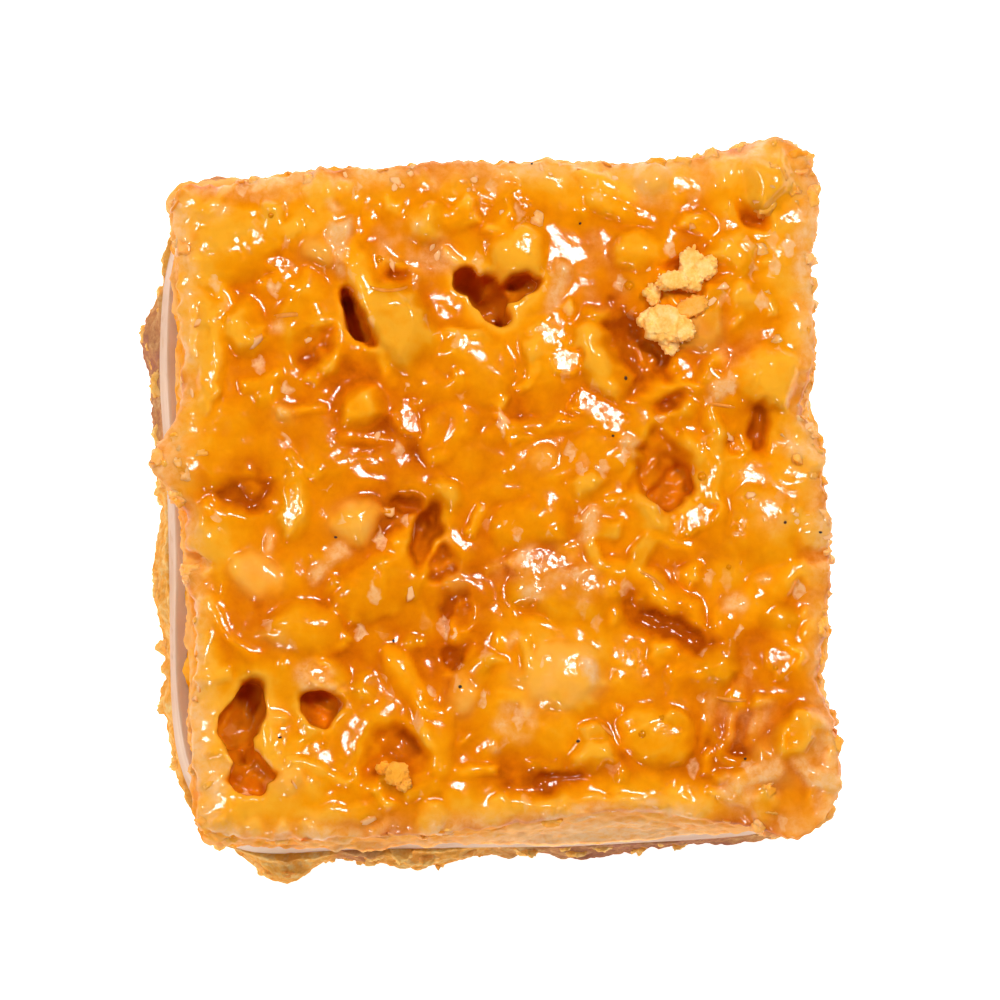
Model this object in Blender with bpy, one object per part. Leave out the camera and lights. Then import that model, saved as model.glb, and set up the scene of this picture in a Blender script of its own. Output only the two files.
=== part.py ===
# Macadamia coconut square: a cut bar of three layers, a crumbly shortbread base, a smooth cream
# layer, and a glazed coconut topping with macadamia pieces, shreds, pits and biscuit crumbs.
# Metres, +Z up. The origin is under the middle of the square, on the surface it stands on.

import math
import random

import bmesh
import bpy
from mathutils import Matrix, Vector, noise

MM = 0.001

# The layers, from the bottom up. Each one keeps a hair's gap to its neighbour.
BASE_HEIGHT = 8.0 * MM
CREAM_HEIGHT = 7.5 * MM
TOPPING_HEIGHT = 9.0 * MM
LAYER_GAP = 0.3 * MM

# Half sides: the square spreads a little towards its base.
TOPPING_HALF_X, TOPPING_HALF_Y = 29.4 * MM, 30.8 * MM
TOPPING_LEAN = 0.35 * MM
CREAM_OUT_AT_TOP, CREAM_OUT_AT_FOOT = 0.4 * MM, 1.0 * MM
BASE_HALF_X, BASE_HALF_Y = 31.0 * MM, 32.3 * MM
BASE_LEAN = 0.35 * MM

# How far each cut side wanders in and out.
TOPPING_ROUGHNESS = 0.55 * MM
CREAM_ROUGHNESS = 0.15 * MM
BASE_ROUGHNESS = 0.8 * MM

CREAM_Z = BASE_HEIGHT + LAYER_GAP
TOPPING_Z = CREAM_Z + CREAM_HEIGHT + LAYER_GAP
TOP_Z = TOPPING_Z + TOPPING_HEIGHT

TOPPING_CELLS = 36
CREAM_CELLS = 20
BASE_CELLS = 32

# Where the topping's cut edge stands out (+) or falls back (-): side, place along it, out, width, in mm.
TOPPING_EDGES = (
    ("left", 4.5, 2.4, 3.0),
    ("left", 27.0, -0.6, 5.0),
    ("left", -27.0, 0.7, 3.5),
    ("right", 27.0, 1.2, 3.5),
    ("right", 7.5, -1.6, 2.4),
    ("right", -4.0, 0.9, 7.0),
    ("right", -18.0, -0.9, 2.5),
    ("right", -25.5, 0.8, 4.0),
    ("back", -25.0, -1.0, 5.0),
    ("back", -2.0, 0.6, 8.0),
    ("back", 26.5, 1.9, 4.5),
    ("front", -27.0, -0.7, 4.0),
    ("front", 20.0, 0.8, 6.0),
    ("front", 25.5, 1.3, 3.0),
)

# Crags of shortbread that stand out of the base: side, place along it, out, width, in mm.
BASE_CRAGS = (
    ("left", 19.5, 1.0, 3.5),
    ("left", -5.5, 1.2, 4.0),
    ("left", -17.0, 0.7, 3.0),
    ("front", -20.5, 2.2, 2.8),
    ("front", -8.0, 1.3, 4.5),
    ("front", 8.0, 0.5, 7.0),
    ("right", 7.0, 0.9, 3.0),
    ("right", -21.0, 0.7, 3.5),
    ("back", -25.0, 0.9, 4.0),
    ("back", 11.0, 0.7, 3.0),
)

# Macadamia pieces and lumps under the glaze, in mm and degrees:
# x, y, length, width, how far the crown stands up, turn.
NUT_PIECES = (
    (-13.9, -1.6, 4.6, 4.2, 1.3, 20),
    (-23.0, -6.4, 6.0, 4.4, 1.2, -10),
    (4.7, -16.9, 8.6, 6.4, 1.5, 5),
    (-23.3, 16.0, 4.4, 3.8, 1.4, 70),
    (-15.7, 13.2, 4.0, 3.6, 1.2, 30),
    (-12.6, 8.7, 5.0, 3.8, 1.1, 45),
    (-16.1, 23.4, 3.6, 3.0, 1.1, 0),
    (1.8, 22.6, 4.6, 4.2, 1.5, 60),
    (13.2, 22.5, 4.0, 3.6, 1.3, 0),
    (9.4, 12.1, 7.4, 4.6, 1.8, 110),
    (25.1, 10.6, 6.0, 5.6, 1.9, 0),
    (23.2, 17.4, 5.2, 4.6, 1.2, 30),
    (22.2, 22.0, 5.4, 4.0, 1.3, 15),
    (14.9, 29.0, 3.6, 3.2, 1.2, 0),
    (7.5, -24.2, 4.6, 4.2, 1.5, 20),
    (26.4, -22.8, 7.4, 5.2, 1.6, 80),
    (-4.4, -18.1, 4.4, 3.2, 1.1, 80),
    (25.4, 27.6, 6.0, 4.6, 1.7, 50),
)

# Broad chips and folds of the glazed coconut, in mm and degrees:
# x, y, length, width, how far it stands up, turn, bend.
COCONUT_CHIPS = (
    (-9.3, 16.2, 10.4, 7.6, 1.7, 115, 0),
    (5.4, -8.8, 10.6, 6.6, 0.9, -8, 0),
    (-26.2, 13.6, 11.6, 2.4, 1.5, 80, 15),
    (-18.9, 20.2, 6.8, 3.0, 1.0, -6, 10),
    (12.8, 26.6, 9.0, 2.8, 1.3, -17, -20),
    (16.2, 9.4, 8.0, 1.8, 1.1, 2, 15),
    (19.8, 1.5, 14.0, 2.4, 1.4, 92, 0),
    (-19.1, 0.4, 8.4, 2.8, 1.2, 88, 0),
    (-26.0, -11.2, 7.4, 2.8, 1.3, -44, 0),
    (-8.4, -19.6, 13.4, 3.4, 1.6, -68, -20),
    (-3.9, -12.2, 6.6, 2.6, 1.3, 92, 0),
    (14.4, -9.6, 11.6, 3.4, 2.1, -40, 12),
    (22.4, -10.6, 10.4, 4.4, 1.9, 42, -15),
    (3.6, 6.2, 18.0, 2.6, 0.8, 7, 10),
    (5.2, 1.6, 15.6, 3.2, 1.0, 14, -12),
    (-21.9, -22.4, 8.6, 2.0, 1.1, 96, 25),
    (-17.3, -15.6, 5.0, 3.2, 1.0, -8, 20),
    (21.0, -20.4, 9.0, 6.0, 0.9, 78, 0),
    (-3.0, 27.6, 13.0, 5.0, 0.9, 3, 0),
    (16.8, -16.9, 5.2, 2.2, 1.0, 4, 10),
)

# Pits between the pieces, cut into the topping, in mm and degrees: x, y, length, width, depth, turn.
PITS = (
    (-1.7, 19.0, 5.4, 6.0, 5.2, 0),
    (1.9, 18.4, 4.6, 3.2, 3.6, 25),
    (-13.1, 17.2, 5.0, 2.6, 4.0, 108),
    (24.0, 5.6, 4.2, 2.2, 2.8, 80),
    (15.3, 1.8, 8.4, 5.6, 3.4, 98),
    (-24.8, -19.6, 6.6, 4.2, 5.4, 65),
    (-24.7, -24.6, 4.8, 3.8, 4.6, 60),
    (-17.7, -19.2, 4.2, 3.8, 3.8, 0),
    (-12.0, -23.6, 5.4, 4.6, 3.0, 40),
    (-7.3, -3.6, 7.2, 3.4, 3.4, 80),
    (13.4, 13.2, 7.2, 4.4, 3.2, 115),
    (3.1, -26.5, 5.4, 2.4, 2.6, 5),
    (13.0, -12.4, 8.4, 2.4, 2.6, -38),
    (24.2, 25.2, 3.6, 1.8, 2.2, 150),
    (-24.4, 1.6, 6.0, 2.6, 1.8, 10),
)

# Biscuit crumbs that lie on the glaze, in mm: x, y, across, height.
BISCUIT_CRUMBS = (
    (18.4, 19.9, 5.0, 2.6),
    (16.4, 15.0, 5.4, 3.0),
    (-11.0, -24.6, 2.8, 2.0),
)

# Small lumps and loose shreds that fill in between, in mm.
LUMP_COUNT = 15
LUMP_LENGTH = (3.6, 5.6)
LUMP_CROWN = (0.8, 1.4)
LUMP_SEED = 4

SHRED_COUNT = 13
SHRED_LENGTH = (4.0, 7.5)
SHRED_WIDTH = (1.1, 1.7)
SHRED_THICKNESS = 1.2
SHRED_LIFT = 0.35
SHRED_SEED = 11

# How far each kind's surface wanders from a smooth one, as a share of its size.
NUT_UNEVENNESS = 0.28
CHIP_UNEVENNESS = 0.24
CRUMB_UNEVENNESS = 0.6
PIT_UNEVENNESS = 0.35


def clear_scene():
    for obj in list(bpy.data.objects):
        bpy.data.objects.remove(obj)


def new_collection(name):
    collection = bpy.data.collections.new(name)
    bpy.context.scene.collection.children.link(collection)
    return collection


def surface(name, colour, roughness):
    made = bpy.data.materials.new(name)
    made.use_nodes = True
    shader = made.node_tree.nodes["Principled BSDF"]
    shader.inputs["Base Color"].default_value = (*colour, 1.0)
    shader.inputs["Roughness"].default_value = roughness
    shader.inputs["Metallic"].default_value = 0.0
    return made


def add_object(name, bm, collection, material=None):
    """A mesh object made from bm, its faces turned outwards."""
    bmesh.ops.recalc_face_normals(bm, faces=bm.faces)
    mesh = bpy.data.meshes.new(name)
    bm.to_mesh(mesh)
    bm.free()
    obj = bpy.data.objects.new(name, mesh)
    collection.objects.link(obj)
    if material:
        mesh.materials.append(material)
    return obj


def wave(x, y, z, size, seed):
    """Smooth noise from -1 to 1 whose bumps are about size across."""
    return noise.noise(Vector((x / size, y / size, z / size)) + Vector((seed, seed * 1.7, seed * 0.3)))


def edge_profile(edges, side, along):
    """How far one side's edge stands out at a place along it, from the named tabs and notches."""
    total = 0.0
    for named_side, place, out, width in edges:
        if named_side == side:
            total += out * MM * math.exp(-(((along - place * MM) / (width * MM)) ** 2))
    return total


def spread(u, v, half_x, half_y, edges, roughness, seed, z):
    """Turns a place on the unit square into x and y, with its cut edges uneven and its middle left alone."""
    x, y = u * half_x, v * half_y
    side_x = "right" if u > 0 else "left"
    side_y = "back" if v > 0 else "front"
    out_x = edge_profile(edges, side_x, y) + roughness * wave(x, y, z, 3.2 * MM, seed)
    out_y = edge_profile(edges, side_y, x) + roughness * wave(x, y, z, 3.2 * MM, seed + 9)
    x += math.copysign(abs(u) ** 7, u) * out_x
    y += math.copysign(abs(v) ** 7, v) * out_y
    return x, y


def mound(x, y, centre_x, centre_y, across):
    """A smooth bump of height 1 over this centre, in mm, that fades out a little past across."""
    distance = math.hypot(x / MM - centre_x, y / MM - centre_y)
    return math.exp(-((distance / (0.62 * across)) ** 2))


def top_height(x, y):
    """Height of the glazed surface: swells, creases, banks around the pieces and hollows at the pits."""
    swell = 1.2 * MM * wave(x, y, 0, 8.0 * MM, 3.1) + 0.9 * MM * wave(x, y, 0, 3.6 * MM, 7.7)
    crease = 1.5 * MM * (abs(wave(x, y, 0, 5.2 * MM, 12.3)) - 0.2)
    banks = sum(0.35 * piece[4] * mound(x, y, piece[0], piece[1], piece[3]) for piece in NUT_PIECES + COCONUT_CHIPS)
    hollows = sum(0.28 * pit[4] * mound(x, y, pit[0], pit[1], pit[2]) for pit in PITS)
    from_edge = min(TOPPING_HALF_X - abs(x), TOPPING_HALF_Y - abs(y))
    shoulder = 0.9 * MM * math.exp(-max(from_edge, 0.0) / (1.4 * MM))
    return TOP_Z + swell + crease + (banks - hollows) * MM - shoulder


def unit_slab(cells, levels, flat_top):
    """A closed block on the unit square: a grid or a single face on top, rings at the levels, one face below."""
    bm = bmesh.new()
    bmesh.ops.create_grid(bm, x_segments=cells, y_segments=cells, size=1.0, matrix=Matrix.Translation((0, 0, 1)))
    if flat_top:
        bmesh.ops.dissolve_limit(
            bm, angle_limit=math.radians(1), verts=[v for v in bm.verts if not v.is_boundary], edges=bm.edges
        )
    rim = [edge for edge in bm.edges if edge.is_boundary]
    for level in levels:
        ring = bmesh.ops.extrude_edge_only(bm, edges=rim)["geom"]
        for vert in (item for item in ring if isinstance(item, bmesh.types.BMVert)):
            vert.co.z = level
        rim = [item for item in ring if isinstance(item, bmesh.types.BMEdge) and item.is_boundary]
    bmesh.ops.contextual_create(bm, geom=rim)
    return bm


def scaled_edges(edges, share):
    return tuple((side, along, out * share, width) for side, along, out, width in edges)


def shape_topping(vert):
    u, v, w = vert.co
    lean = TOPPING_LEAN * (1 - w)
    # The tabs are flakes of the glazed surface, so they fade out down the cut side.
    edges = scaled_edges(TOPPING_EDGES, 0.3 + 0.7 * w * w)
    x, y = spread(u, v, TOPPING_HALF_X + lean, TOPPING_HALF_Y + lean, edges, TOPPING_ROUGHNESS, 2.0, w * 6 * MM)
    vert.co = (x, y, TOPPING_Z + w * (top_height(x, y) - TOPPING_Z))


def shape_cream(vert):
    u, v, w = vert.co
    out = CREAM_OUT_AT_FOOT * (1 - w) + CREAM_OUT_AT_TOP * w
    x, y = spread(u, v, TOPPING_HALF_X + out, TOPPING_HALF_Y + out, (), CREAM_ROUGHNESS, 5.0, w * 2 * MM)
    vert.co = (x, y, CREAM_Z + w * CREAM_HEIGHT)


def shape_base(vert):
    u, v, w = vert.co
    # The crags are fullest a little above the foot, where the crust has crumbled.
    crags = scaled_edges(BASE_CRAGS, 0.6 + 0.4 * math.sin(math.pi * w))
    pinch = BASE_LEAN * w
    x, y = spread(u, v, BASE_HALF_X - pinch, BASE_HALF_Y - pinch, crags, BASE_ROUGHNESS, 8.0, w * 7 * MM)
    vert.co = (x, y, w * BASE_HEIGHT)


def slab(name, cells, levels, flat_top, shape, collection, material):
    bm = unit_slab(cells, levels, flat_top)
    for vert in bm.verts:
        shape(vert)
    return add_object(name, bm, collection, material)


def lump(length, width, height, unevenness, seed):
    """A closed knobbly ball of this size in mm, centred on the origin."""
    half_size = Vector((length, width, height)) * MM / 2
    bm = bmesh.new()
    bmesh.ops.create_icosphere(bm, subdivisions=2, radius=1.0)
    for vert in bm.verts:
        direction = vert.co.normalized()
        reach = 1.0 + unevenness * noise.noise(direction * 1.9 + Vector((seed, seed, seed)))
        # A higher power than a ball's squares it off a little, as a broken piece is.
        square = sum(abs(part) ** 3 for part in direction) ** (-1 / 3)
        vert.co = direction * half_size * reach * square
    return bm


def bend_along_x(bm, length, degrees):
    """Bends a piece that lies along X sideways, by this angle over its length."""
    if not degrees:
        return
    radius = length / math.radians(degrees)
    for vert in bm.verts:
        angle = vert.co.x / radius
        reach = radius - vert.co.y
        vert.co.x, vert.co.y = reach * math.sin(angle), radius - reach * math.cos(angle)


def place(bm, x, y, above, turn):
    """Turns a piece about Z in degrees and puts its centre this far above the surface, all in mm."""
    centre = Vector((x * MM, y * MM, top_height(x * MM, y * MM) + above * MM))
    turned = Matrix.Rotation(math.radians(turn), 4, "Z")
    bmesh.ops.transform(bm, matrix=Matrix.Translation(centre) @ turned, verts=bm.verts)


def glazed_pieces(collection):
    """The nut pieces, chips and folds, half sunk in the topping."""
    for number, (x, y, length, width, crown, turn) in enumerate(NUT_PIECES):
        height = 2.4 * crown
        bm = lump(length, width, height, NUT_UNEVENNESS, number + 1.3)
        place(bm, x, y, crown - height / 2, turn)
        add_object(f"nut_{number}", bm, collection)
    for number, (x, y, length, width, crown, turn, bend) in enumerate(COCONUT_CHIPS):
        height = 2.6 * crown
        bm = lump(length, width, height, CHIP_UNEVENNESS, number + 40.7)
        bend_along_x(bm, length * MM, bend)
        place(bm, x, y, crown - height / 2, turn)
        add_object(f"chip_{number}", bm, collection)


def clear_of(rows, x, y, share):
    """Whether a place in mm is further from every row's centre than this share of its length."""
    return all(math.hypot(x - row[0], y - row[1]) > share * row[2] for row in rows)


def scattered_places(draw, across):
    """Places in mm over the top, one in each cell of a square grid, in random order."""
    cells = [(column, row) for column in range(across) for row in range(across)]
    draw.shuffle(cells)
    for column, row in cells:
        x = ((column + draw.uniform(0.2, 0.8)) / across - 0.5) * 1.84 * TOPPING_HALF_X / MM
        y = ((row + draw.uniform(0.2, 0.8)) / across - 0.5) * 1.84 * TOPPING_HALF_Y / MM
        yield x, y


def small_lumps(collection):
    """Smaller glazed lumps that fill the places between the named pieces."""
    draw = random.Random(LUMP_SEED)
    made = 0
    for x, y in scattered_places(draw, 8):
        length, crown, turn = draw.uniform(*LUMP_LENGTH), draw.uniform(*LUMP_CROWN), draw.uniform(0, 180)
        clear = clear_of(PITS, x, y, 0.85) and clear_of(NUT_PIECES + COCONUT_CHIPS, x, y, 0.55)
        if clear and made < LUMP_COUNT:
            bm = lump(length, 0.75 * length, 2.4 * crown, NUT_UNEVENNESS, made + 120.4)
            place(bm, x, y, -0.2 * crown, turn)
            add_object(f"lump_{made}", bm, collection)
            made += 1


def coconut_shreds(collection):
    """Shreds laid over the top, each a bent bar with squared ends."""
    draw = random.Random(SHRED_SEED)
    made = 0
    for x, y in scattered_places(draw, 6):
        length, width = draw.uniform(*SHRED_LENGTH), draw.uniform(*SHRED_WIDTH)
        turn, bend, tilt = draw.uniform(0, 180), draw.uniform(-40, 40), draw.uniform(-0.16, 0.16)
        if clear_of(PITS, x, y, 0.75) and made < SHRED_COUNT:
            bm = bmesh.new()
            size = Matrix.Diagonal((length * MM, width * MM, SHRED_THICKNESS * MM, 1))
            bmesh.ops.create_cube(bm, size=1.0, matrix=size)
            lengthways = [edge for edge in bm.edges if edge.calc_length() > 0.9 * length * MM]
            bmesh.ops.subdivide_edges(bm, edges=lengthways, cuts=2)
            bend_along_x(bm, length * MM, bend)
            bmesh.ops.transform(bm, matrix=Matrix.Rotation(tilt, 4, "Y"), verts=bm.verts)
            place(bm, x, y, SHRED_LIFT, turn)
            add_object(f"shred_{made}", bm, collection)
            made += 1


def biscuit_crumbs(collection):
    for number, (x, y, across, height) in enumerate(BISCUIT_CRUMBS):
        bm = lump(across, 0.85 * across, 1.5 * height, CRUMB_UNEVENNESS, number + 90.2)
        place(bm, x, y, 0.3 * height, number * 60)
        add_object(f"crumb_{number}", bm, collection)


def pit_cutters(collection):
    """Uneven balls that cut the pits, each widest below the surface so that the rim overhangs."""
    for number, (x, y, length, width, depth, turn) in enumerate(PITS):
        half_height = 0.72 * depth
        bm = lump(1.15 * length, 1.15 * width, 2 * half_height, PIT_UNEVENNESS, number + 60.9)
        place(bm, x, y, half_height - depth, turn)
        cutter = add_object(f"pit_{number}", bm, collection)
        cutter.hide_render = True
        cutter.display_type = "WIRE"


def apply_boolean(obj, operation, collection):
    """Joins or cuts obj with every object of the collection, then removes them."""
    modifier = obj.modifiers.new(operation.lower(), "BOOLEAN")
    modifier.operation = operation
    modifier.operand_type = "COLLECTION"
    modifier.collection = collection
    modifier.solver = "EXACT"
    graph = bpy.context.evaluated_depsgraph_get()
    joined = bpy.data.meshes.new_from_object(obj.evaluated_get(graph))
    obj.modifiers.clear()
    obj.data = joined
    for other in list(collection.objects):
        bpy.data.objects.remove(other)
    bpy.data.collections.remove(collection)


def coconut_topping(collection, material):
    levels = (0.7, 0.36, 0.0)
    topping = slab("coconut_topping", TOPPING_CELLS, levels, False, shape_topping, collection, material)
    pieces = new_collection("topping_pieces")
    glazed_pieces(pieces)
    small_lumps(pieces)
    coconut_shreds(pieces)
    apply_boolean(topping, "UNION", pieces)
    cutters = new_collection("topping_pits")
    pit_cutters(cutters)
    apply_boolean(topping, "DIFFERENCE", cutters)
    crumbs = new_collection("topping_crumbs")
    biscuit_crumbs(crumbs)
    apply_boolean(topping, "UNION", crumbs)
    return topping


def centre_on_origin(objects):
    """Moves the meshes so that the middle of the whole square's box stands on the origin."""
    points = [obj.matrix_world @ vert.co for obj in objects for vert in obj.data.vertices]
    middle = [(min(p[axis] for p in points) + max(p[axis] for p in points)) / 2 for axis in range(2)]
    for obj in objects:
        obj.data.transform(Matrix.Translation((-middle[0], -middle[1], 0)))
    print("moved by", [round(-value / MM, 3) for value in middle], "mm")


def main():
    clear_scene()
    square = new_collection("macadamia_coconut_square")
    shortbread = surface("shortbread", (0.70, 0.42, 0.16), 0.85)
    cream = surface("cream", (0.86, 0.66, 0.47), 0.5)
    glaze = surface("glazed_coconut", (0.87, 0.36, 0.02), 0.2)
    base_levels = (0.8, 0.55, 0.3, 0.0)
    cream_levels = (0.66, 0.33, 0.0)
    layers = [
        slab("shortbread_base", BASE_CELLS, base_levels, True, shape_base, square, shortbread),
        slab("cream_layer", CREAM_CELLS, cream_levels, True, shape_cream, square, cream),
        coconut_topping(square, glaze),
    ]
    centre_on_origin(layers)


main()
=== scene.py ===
# A cut square of macadamia and coconut slice: shortbread, set cream and a glazed coconut top.
# All sizes in the dictionaries are in mm, and are turned to metres as the meshes are written.

import functools
import math
import random

import bmesh
import bpy
import numpy as np
from mathutils import Matrix, Vector, noise
from mathutils.bvhtree import BVHTree


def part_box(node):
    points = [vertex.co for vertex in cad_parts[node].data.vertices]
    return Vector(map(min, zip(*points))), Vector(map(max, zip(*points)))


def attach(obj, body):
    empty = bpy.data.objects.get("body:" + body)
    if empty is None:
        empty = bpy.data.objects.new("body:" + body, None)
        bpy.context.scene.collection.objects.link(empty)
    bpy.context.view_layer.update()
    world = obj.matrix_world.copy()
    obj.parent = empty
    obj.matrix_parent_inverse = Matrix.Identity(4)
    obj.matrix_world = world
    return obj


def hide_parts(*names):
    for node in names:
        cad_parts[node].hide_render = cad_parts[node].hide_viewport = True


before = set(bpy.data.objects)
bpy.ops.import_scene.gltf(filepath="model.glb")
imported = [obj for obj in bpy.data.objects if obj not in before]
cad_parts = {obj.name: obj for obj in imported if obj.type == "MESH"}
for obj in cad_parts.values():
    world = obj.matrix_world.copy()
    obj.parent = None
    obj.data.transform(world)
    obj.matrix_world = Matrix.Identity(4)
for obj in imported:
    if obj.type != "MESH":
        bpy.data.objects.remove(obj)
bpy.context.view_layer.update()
mm = 0.001

# The square's own middle in the frame: the base's crags push it a little off the box's middle.
creamLow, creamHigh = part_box("cream_layer")
middleX = (creamLow[0] + creamHigh[0]) / 2 / mm
middleY = (creamLow[1] + creamHigh[1]) / 2 / mm

square = {
    "halfX": 29.4,
    "halfY": 30.8,
    "shortbreadTop": 8.1,
    "creamTop": 16.0,
    "toppingTop": 25.1,
}


def linearColour(code):
    # sRGB hex to the linear colour that the shaders take
    parts = [int(code[place:place + 2], 16) / 255 for place in (1, 3, 5)]
    linear = [part / 12.92 if part <= 0.04045 else ((part + 0.055) / 1.055) ** 2.4 for part in parts]
    return (*linear, 1.0)


# materials

def setSockets(tree, node, inputs):
    # a socket takes a constant, an output, or a node, which stands for its first output
    for socket, value in inputs.items():
        if isinstance(value, bpy.types.Node):
            value = value.outputs[0]
        if isinstance(value, bpy.types.NodeSocket):
            tree.links.new(value, node.inputs[socket])
        else:
            node.inputs[socket].default_value = value


def addNode(tree, kind, inputs=None, stops=(), **settings):
    node = tree.nodes.new("ShaderNode" + kind)
    for name, value in settings.items():
        setattr(node, name, value)
    if stops:
        ramp = node.color_ramp
        while len(ramp.elements) < len(stops):
            ramp.elements.new(0.5)
        for element, (position, code) in zip(ramp.elements, stops):
            element.position = position
            element.color = linearColour(code)
    setSockets(tree, node, inputs or {})
    return node


def newMaterial(name):
    # the material, the call that adds a node to it, and where each point lies
    made = bpy.data.materials.new(name)
    made.use_nodes = True
    add = functools.partial(addNode, made.node_tree)
    return made, add, add("TexCoord").outputs["Object"]


def finishMaterial(made, sockets):
    shader = made.node_tree.nodes["Principled BSDF"]
    shader.subsurface_method = "BURLEY"
    setSockets(made.node_tree, shader, sockets)
    return made


def perMetre(size):
    # the texture scale whose pattern is about this many mm across
    return 1000 / size


# colours as the glaze deepens, of what shows through it, of the painted shade in the pits, and sizes in mm
glazeLook = {
    "thin": "#FDAB26",
    "clear": "#FA9A06",
    "body": "#F18A00",
    "thick": "#DC6E00",
    "deepest": "#AC4600",
    "nut": "#F8B262",
    "flesh": "#FDC68C",
    "pit": "#D4780C",
    "bendSize": 0.8,
    "bendBy": 0.7,
    "strandSize": 0.8,
    "strand": 0.14,
    "mottleSize": 1.8,
    "mottle": 0.16,
    "patchSize": 5.0,
    "flakeSize": 1.35,
    "waveSize": 1.6,
    "foldSize": 0.65,
    "ripple": 0.34,
    "crinkle": 0.2,
    "grainSize": 0.40,
    "grainTilt": 0.22,
    "smooth": 0.015,
}
glazeMaps = ("glazeDepth", "nut", "flesh", "pit", "tone", "grainy", "calm", "cut")


def caramelGlaze():
    # Honey caramel set over coconut and nut: wet, smooth and see-through, paler where it is thin.
    look = glazeLook
    made, add, place = newMaterial("caramelGlaze")
    read = {name: add("Attribute", attribute_name=name).outputs["Fac"] for name in glazeMaps}
    drift = add("TexNoise", {"Vector": place, "Scale": perMetre(look["bendSize"]), "Detail": 1.0})
    bent = add("VectorMath", {0: drift.outputs["Color"], 1: [look["bendBy"] * mm] * 3, 2: place},
               operation="MULTIPLY_ADD")
    fine = add("TexNoise", {"Vector": bent, "Scale": perMetre(look["strandSize"]), "Detail": 3.0,
                            "Roughness": 0.65})
    mottle = add("TexNoise", {"Vector": place, "Scale": perMetre(look["mottleSize"]), "Detail": 1.0})
    uneven = add("MapRange", {"Value": mottle, "To Min": -look["mottle"], "To Max": look["mottle"]})
    strands = add("MapRange", {"Value": fine, "To Min": look["strand"], "To Max": -look["strand"]})
    varied = add("Math", {0: uneven, 1: strands}, operation="ADD")
    mixed = add("Math", {0: read["glazeDepth"], 1: varied}, operation="ADD")
    # the colour deepens with glazeDepth, whose crease and hollow terms are partly painted shade
    depths = zip((0.0, 0.22, 0.42, 0.72, 1.0), ("thin", "clear", "body", "thick", "deepest"))
    body = add("ValToRGB", {"Fac": mixed}, [(depth, look[name]) for depth, name in depths])
    # nut meat and coconut flesh show through where the glaze over them is thin
    thin = add("MapRange", {"Value": mixed, "From Max": 0.75, "To Min": 1.0, "To Max": 0.25})
    nutShare = add("Math", {0: read["nut"], 1: thin}, operation="MULTIPLY")
    fleshShare = add("Math", {0: read["flesh"], 1: thin}, operation="MULTIPLY")
    # soaked coconut shows as soft pale flakes set flush in the glaze, more of them in some places
    patches = add("TexNoise", {"Vector": place, "Scale": perMetre(look["patchSize"]), "Detail": 1.0})
    laid = add("Mapping", {"Vector": bent, "Rotation": (0.3, 0.2, 0.7), "Scale": (1.0, 0.6, 1.0)})
    flakes = add("TexVoronoi", {"Vector": laid, "Scale": perMetre(look["flakeSize"])}, distance="CHEBYCHEV")
    lot = add("SeparateColor", {"Color": flakes.outputs["Color"]})
    chance = add("MapRange", {"Value": patches, "From Min": 0.35, "From Max": 0.65, "To Min": 0.99,
                              "To Max": 0.84})
    picked = add("Math", {0: lot, 1: chance}, operation="GREATER_THAN")
    core = add("MapRange", {"Value": flakes, "From Min": 0.42, "From Max": 0.26})
    flake = add("Math", {0: picked, 1: core}, operation="MULTIPLY")
    paler = add("MapRange", {"Value": lot.outputs["Green"], "To Min": 0.1, "To Max": 0.8})
    flakeShare = add("Math", {0: flake, 1: paler}, operation="MULTIPLY")
    allFlesh = add("Math", {0: fleshShare, 1: flakeShare}, operation="MAXIMUM")
    torn = add("MapRange", {"Value": fine, "From Min": 0.32, "From Max": 0.66, "To Min": 0.35,
                            "To Max": 1.25})
    tornFlesh = add("Math", {0: allFlesh, 1: torn}, operation="MULTIPLY", use_clamp=True)
    colour = body.outputs[0]
    # the colour mixed in over the pits is painted shade, a browner orange, on glaze that also lies deeper
    # there
    for name, share in (("nut", nutShare), ("flesh", tornFlesh), ("pit", read["pit"])):
        colour = add("Mix", {0: share, 6: colour, 7: linearColour(look[name])}, data_type="RGBA").outputs[2]
    bright = add("MapRange", {"Value": read["tone"], "From Min": -1.0, "To Min": 0.9, "To Max": 1.06})
    toned = add("HueSaturation", {"Color": colour, "Value": bright})
    # the skin ripples and crinkles, less so on the calm places that mirror a light
    lively = {name: add("MapRange", {"Value": read["calm"], "To Min": look[name], "To Max": 0.2 * look[name]})
              for name in ("ripple", "crinkle")}
    waves = add("TexNoise", {"Vector": place, "Scale": perMetre(look["waveSize"]), "Detail": 2.0})
    ripple = add("Bump", {"Height": waves, "Strength": lively["ripple"], "Distance": 0.00016})
    folds = add("TexNoise", {"Vector": place, "Scale": perMetre(look["foldSize"]), "Detail": 1.0})
    crinkle = add("Bump", {"Height": folds, "Strength": lively["crinkle"], "Distance": 0.00012,
                           "Normal": ripple})
    # each sugar grain faces its own way a little, so the light breaks up into sharp glints
    grains = add("TexVoronoi", {"Vector": place, "Scale": perMetre(look["grainSize"])})
    facing = add("VectorMath", {0: grains.outputs["Color"], 1: (0.5, 0.5, 0.5)}, operation="SUBTRACT")
    patchy = add("MapRange", {"Value": patches, "From Min": 0.46, "From Max": 0.62, "To Min": look["smooth"],
                              "To Max": 0.25 * look["grainTilt"]})
    sugary = add("Math", {0: read["grainy"], 1: look["grainTilt"], 2: patchy}, operation="MULTIPLY_ADD")
    tilt = add("VectorMath", {0: facing, "Scale": sugary}, operation="SCALE")
    tilted = add("VectorMath", {0: crinkle, 1: tilt}, operation="ADD")
    glints = add("VectorMath", {0: tilted}, operation="NORMALIZE")
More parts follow.
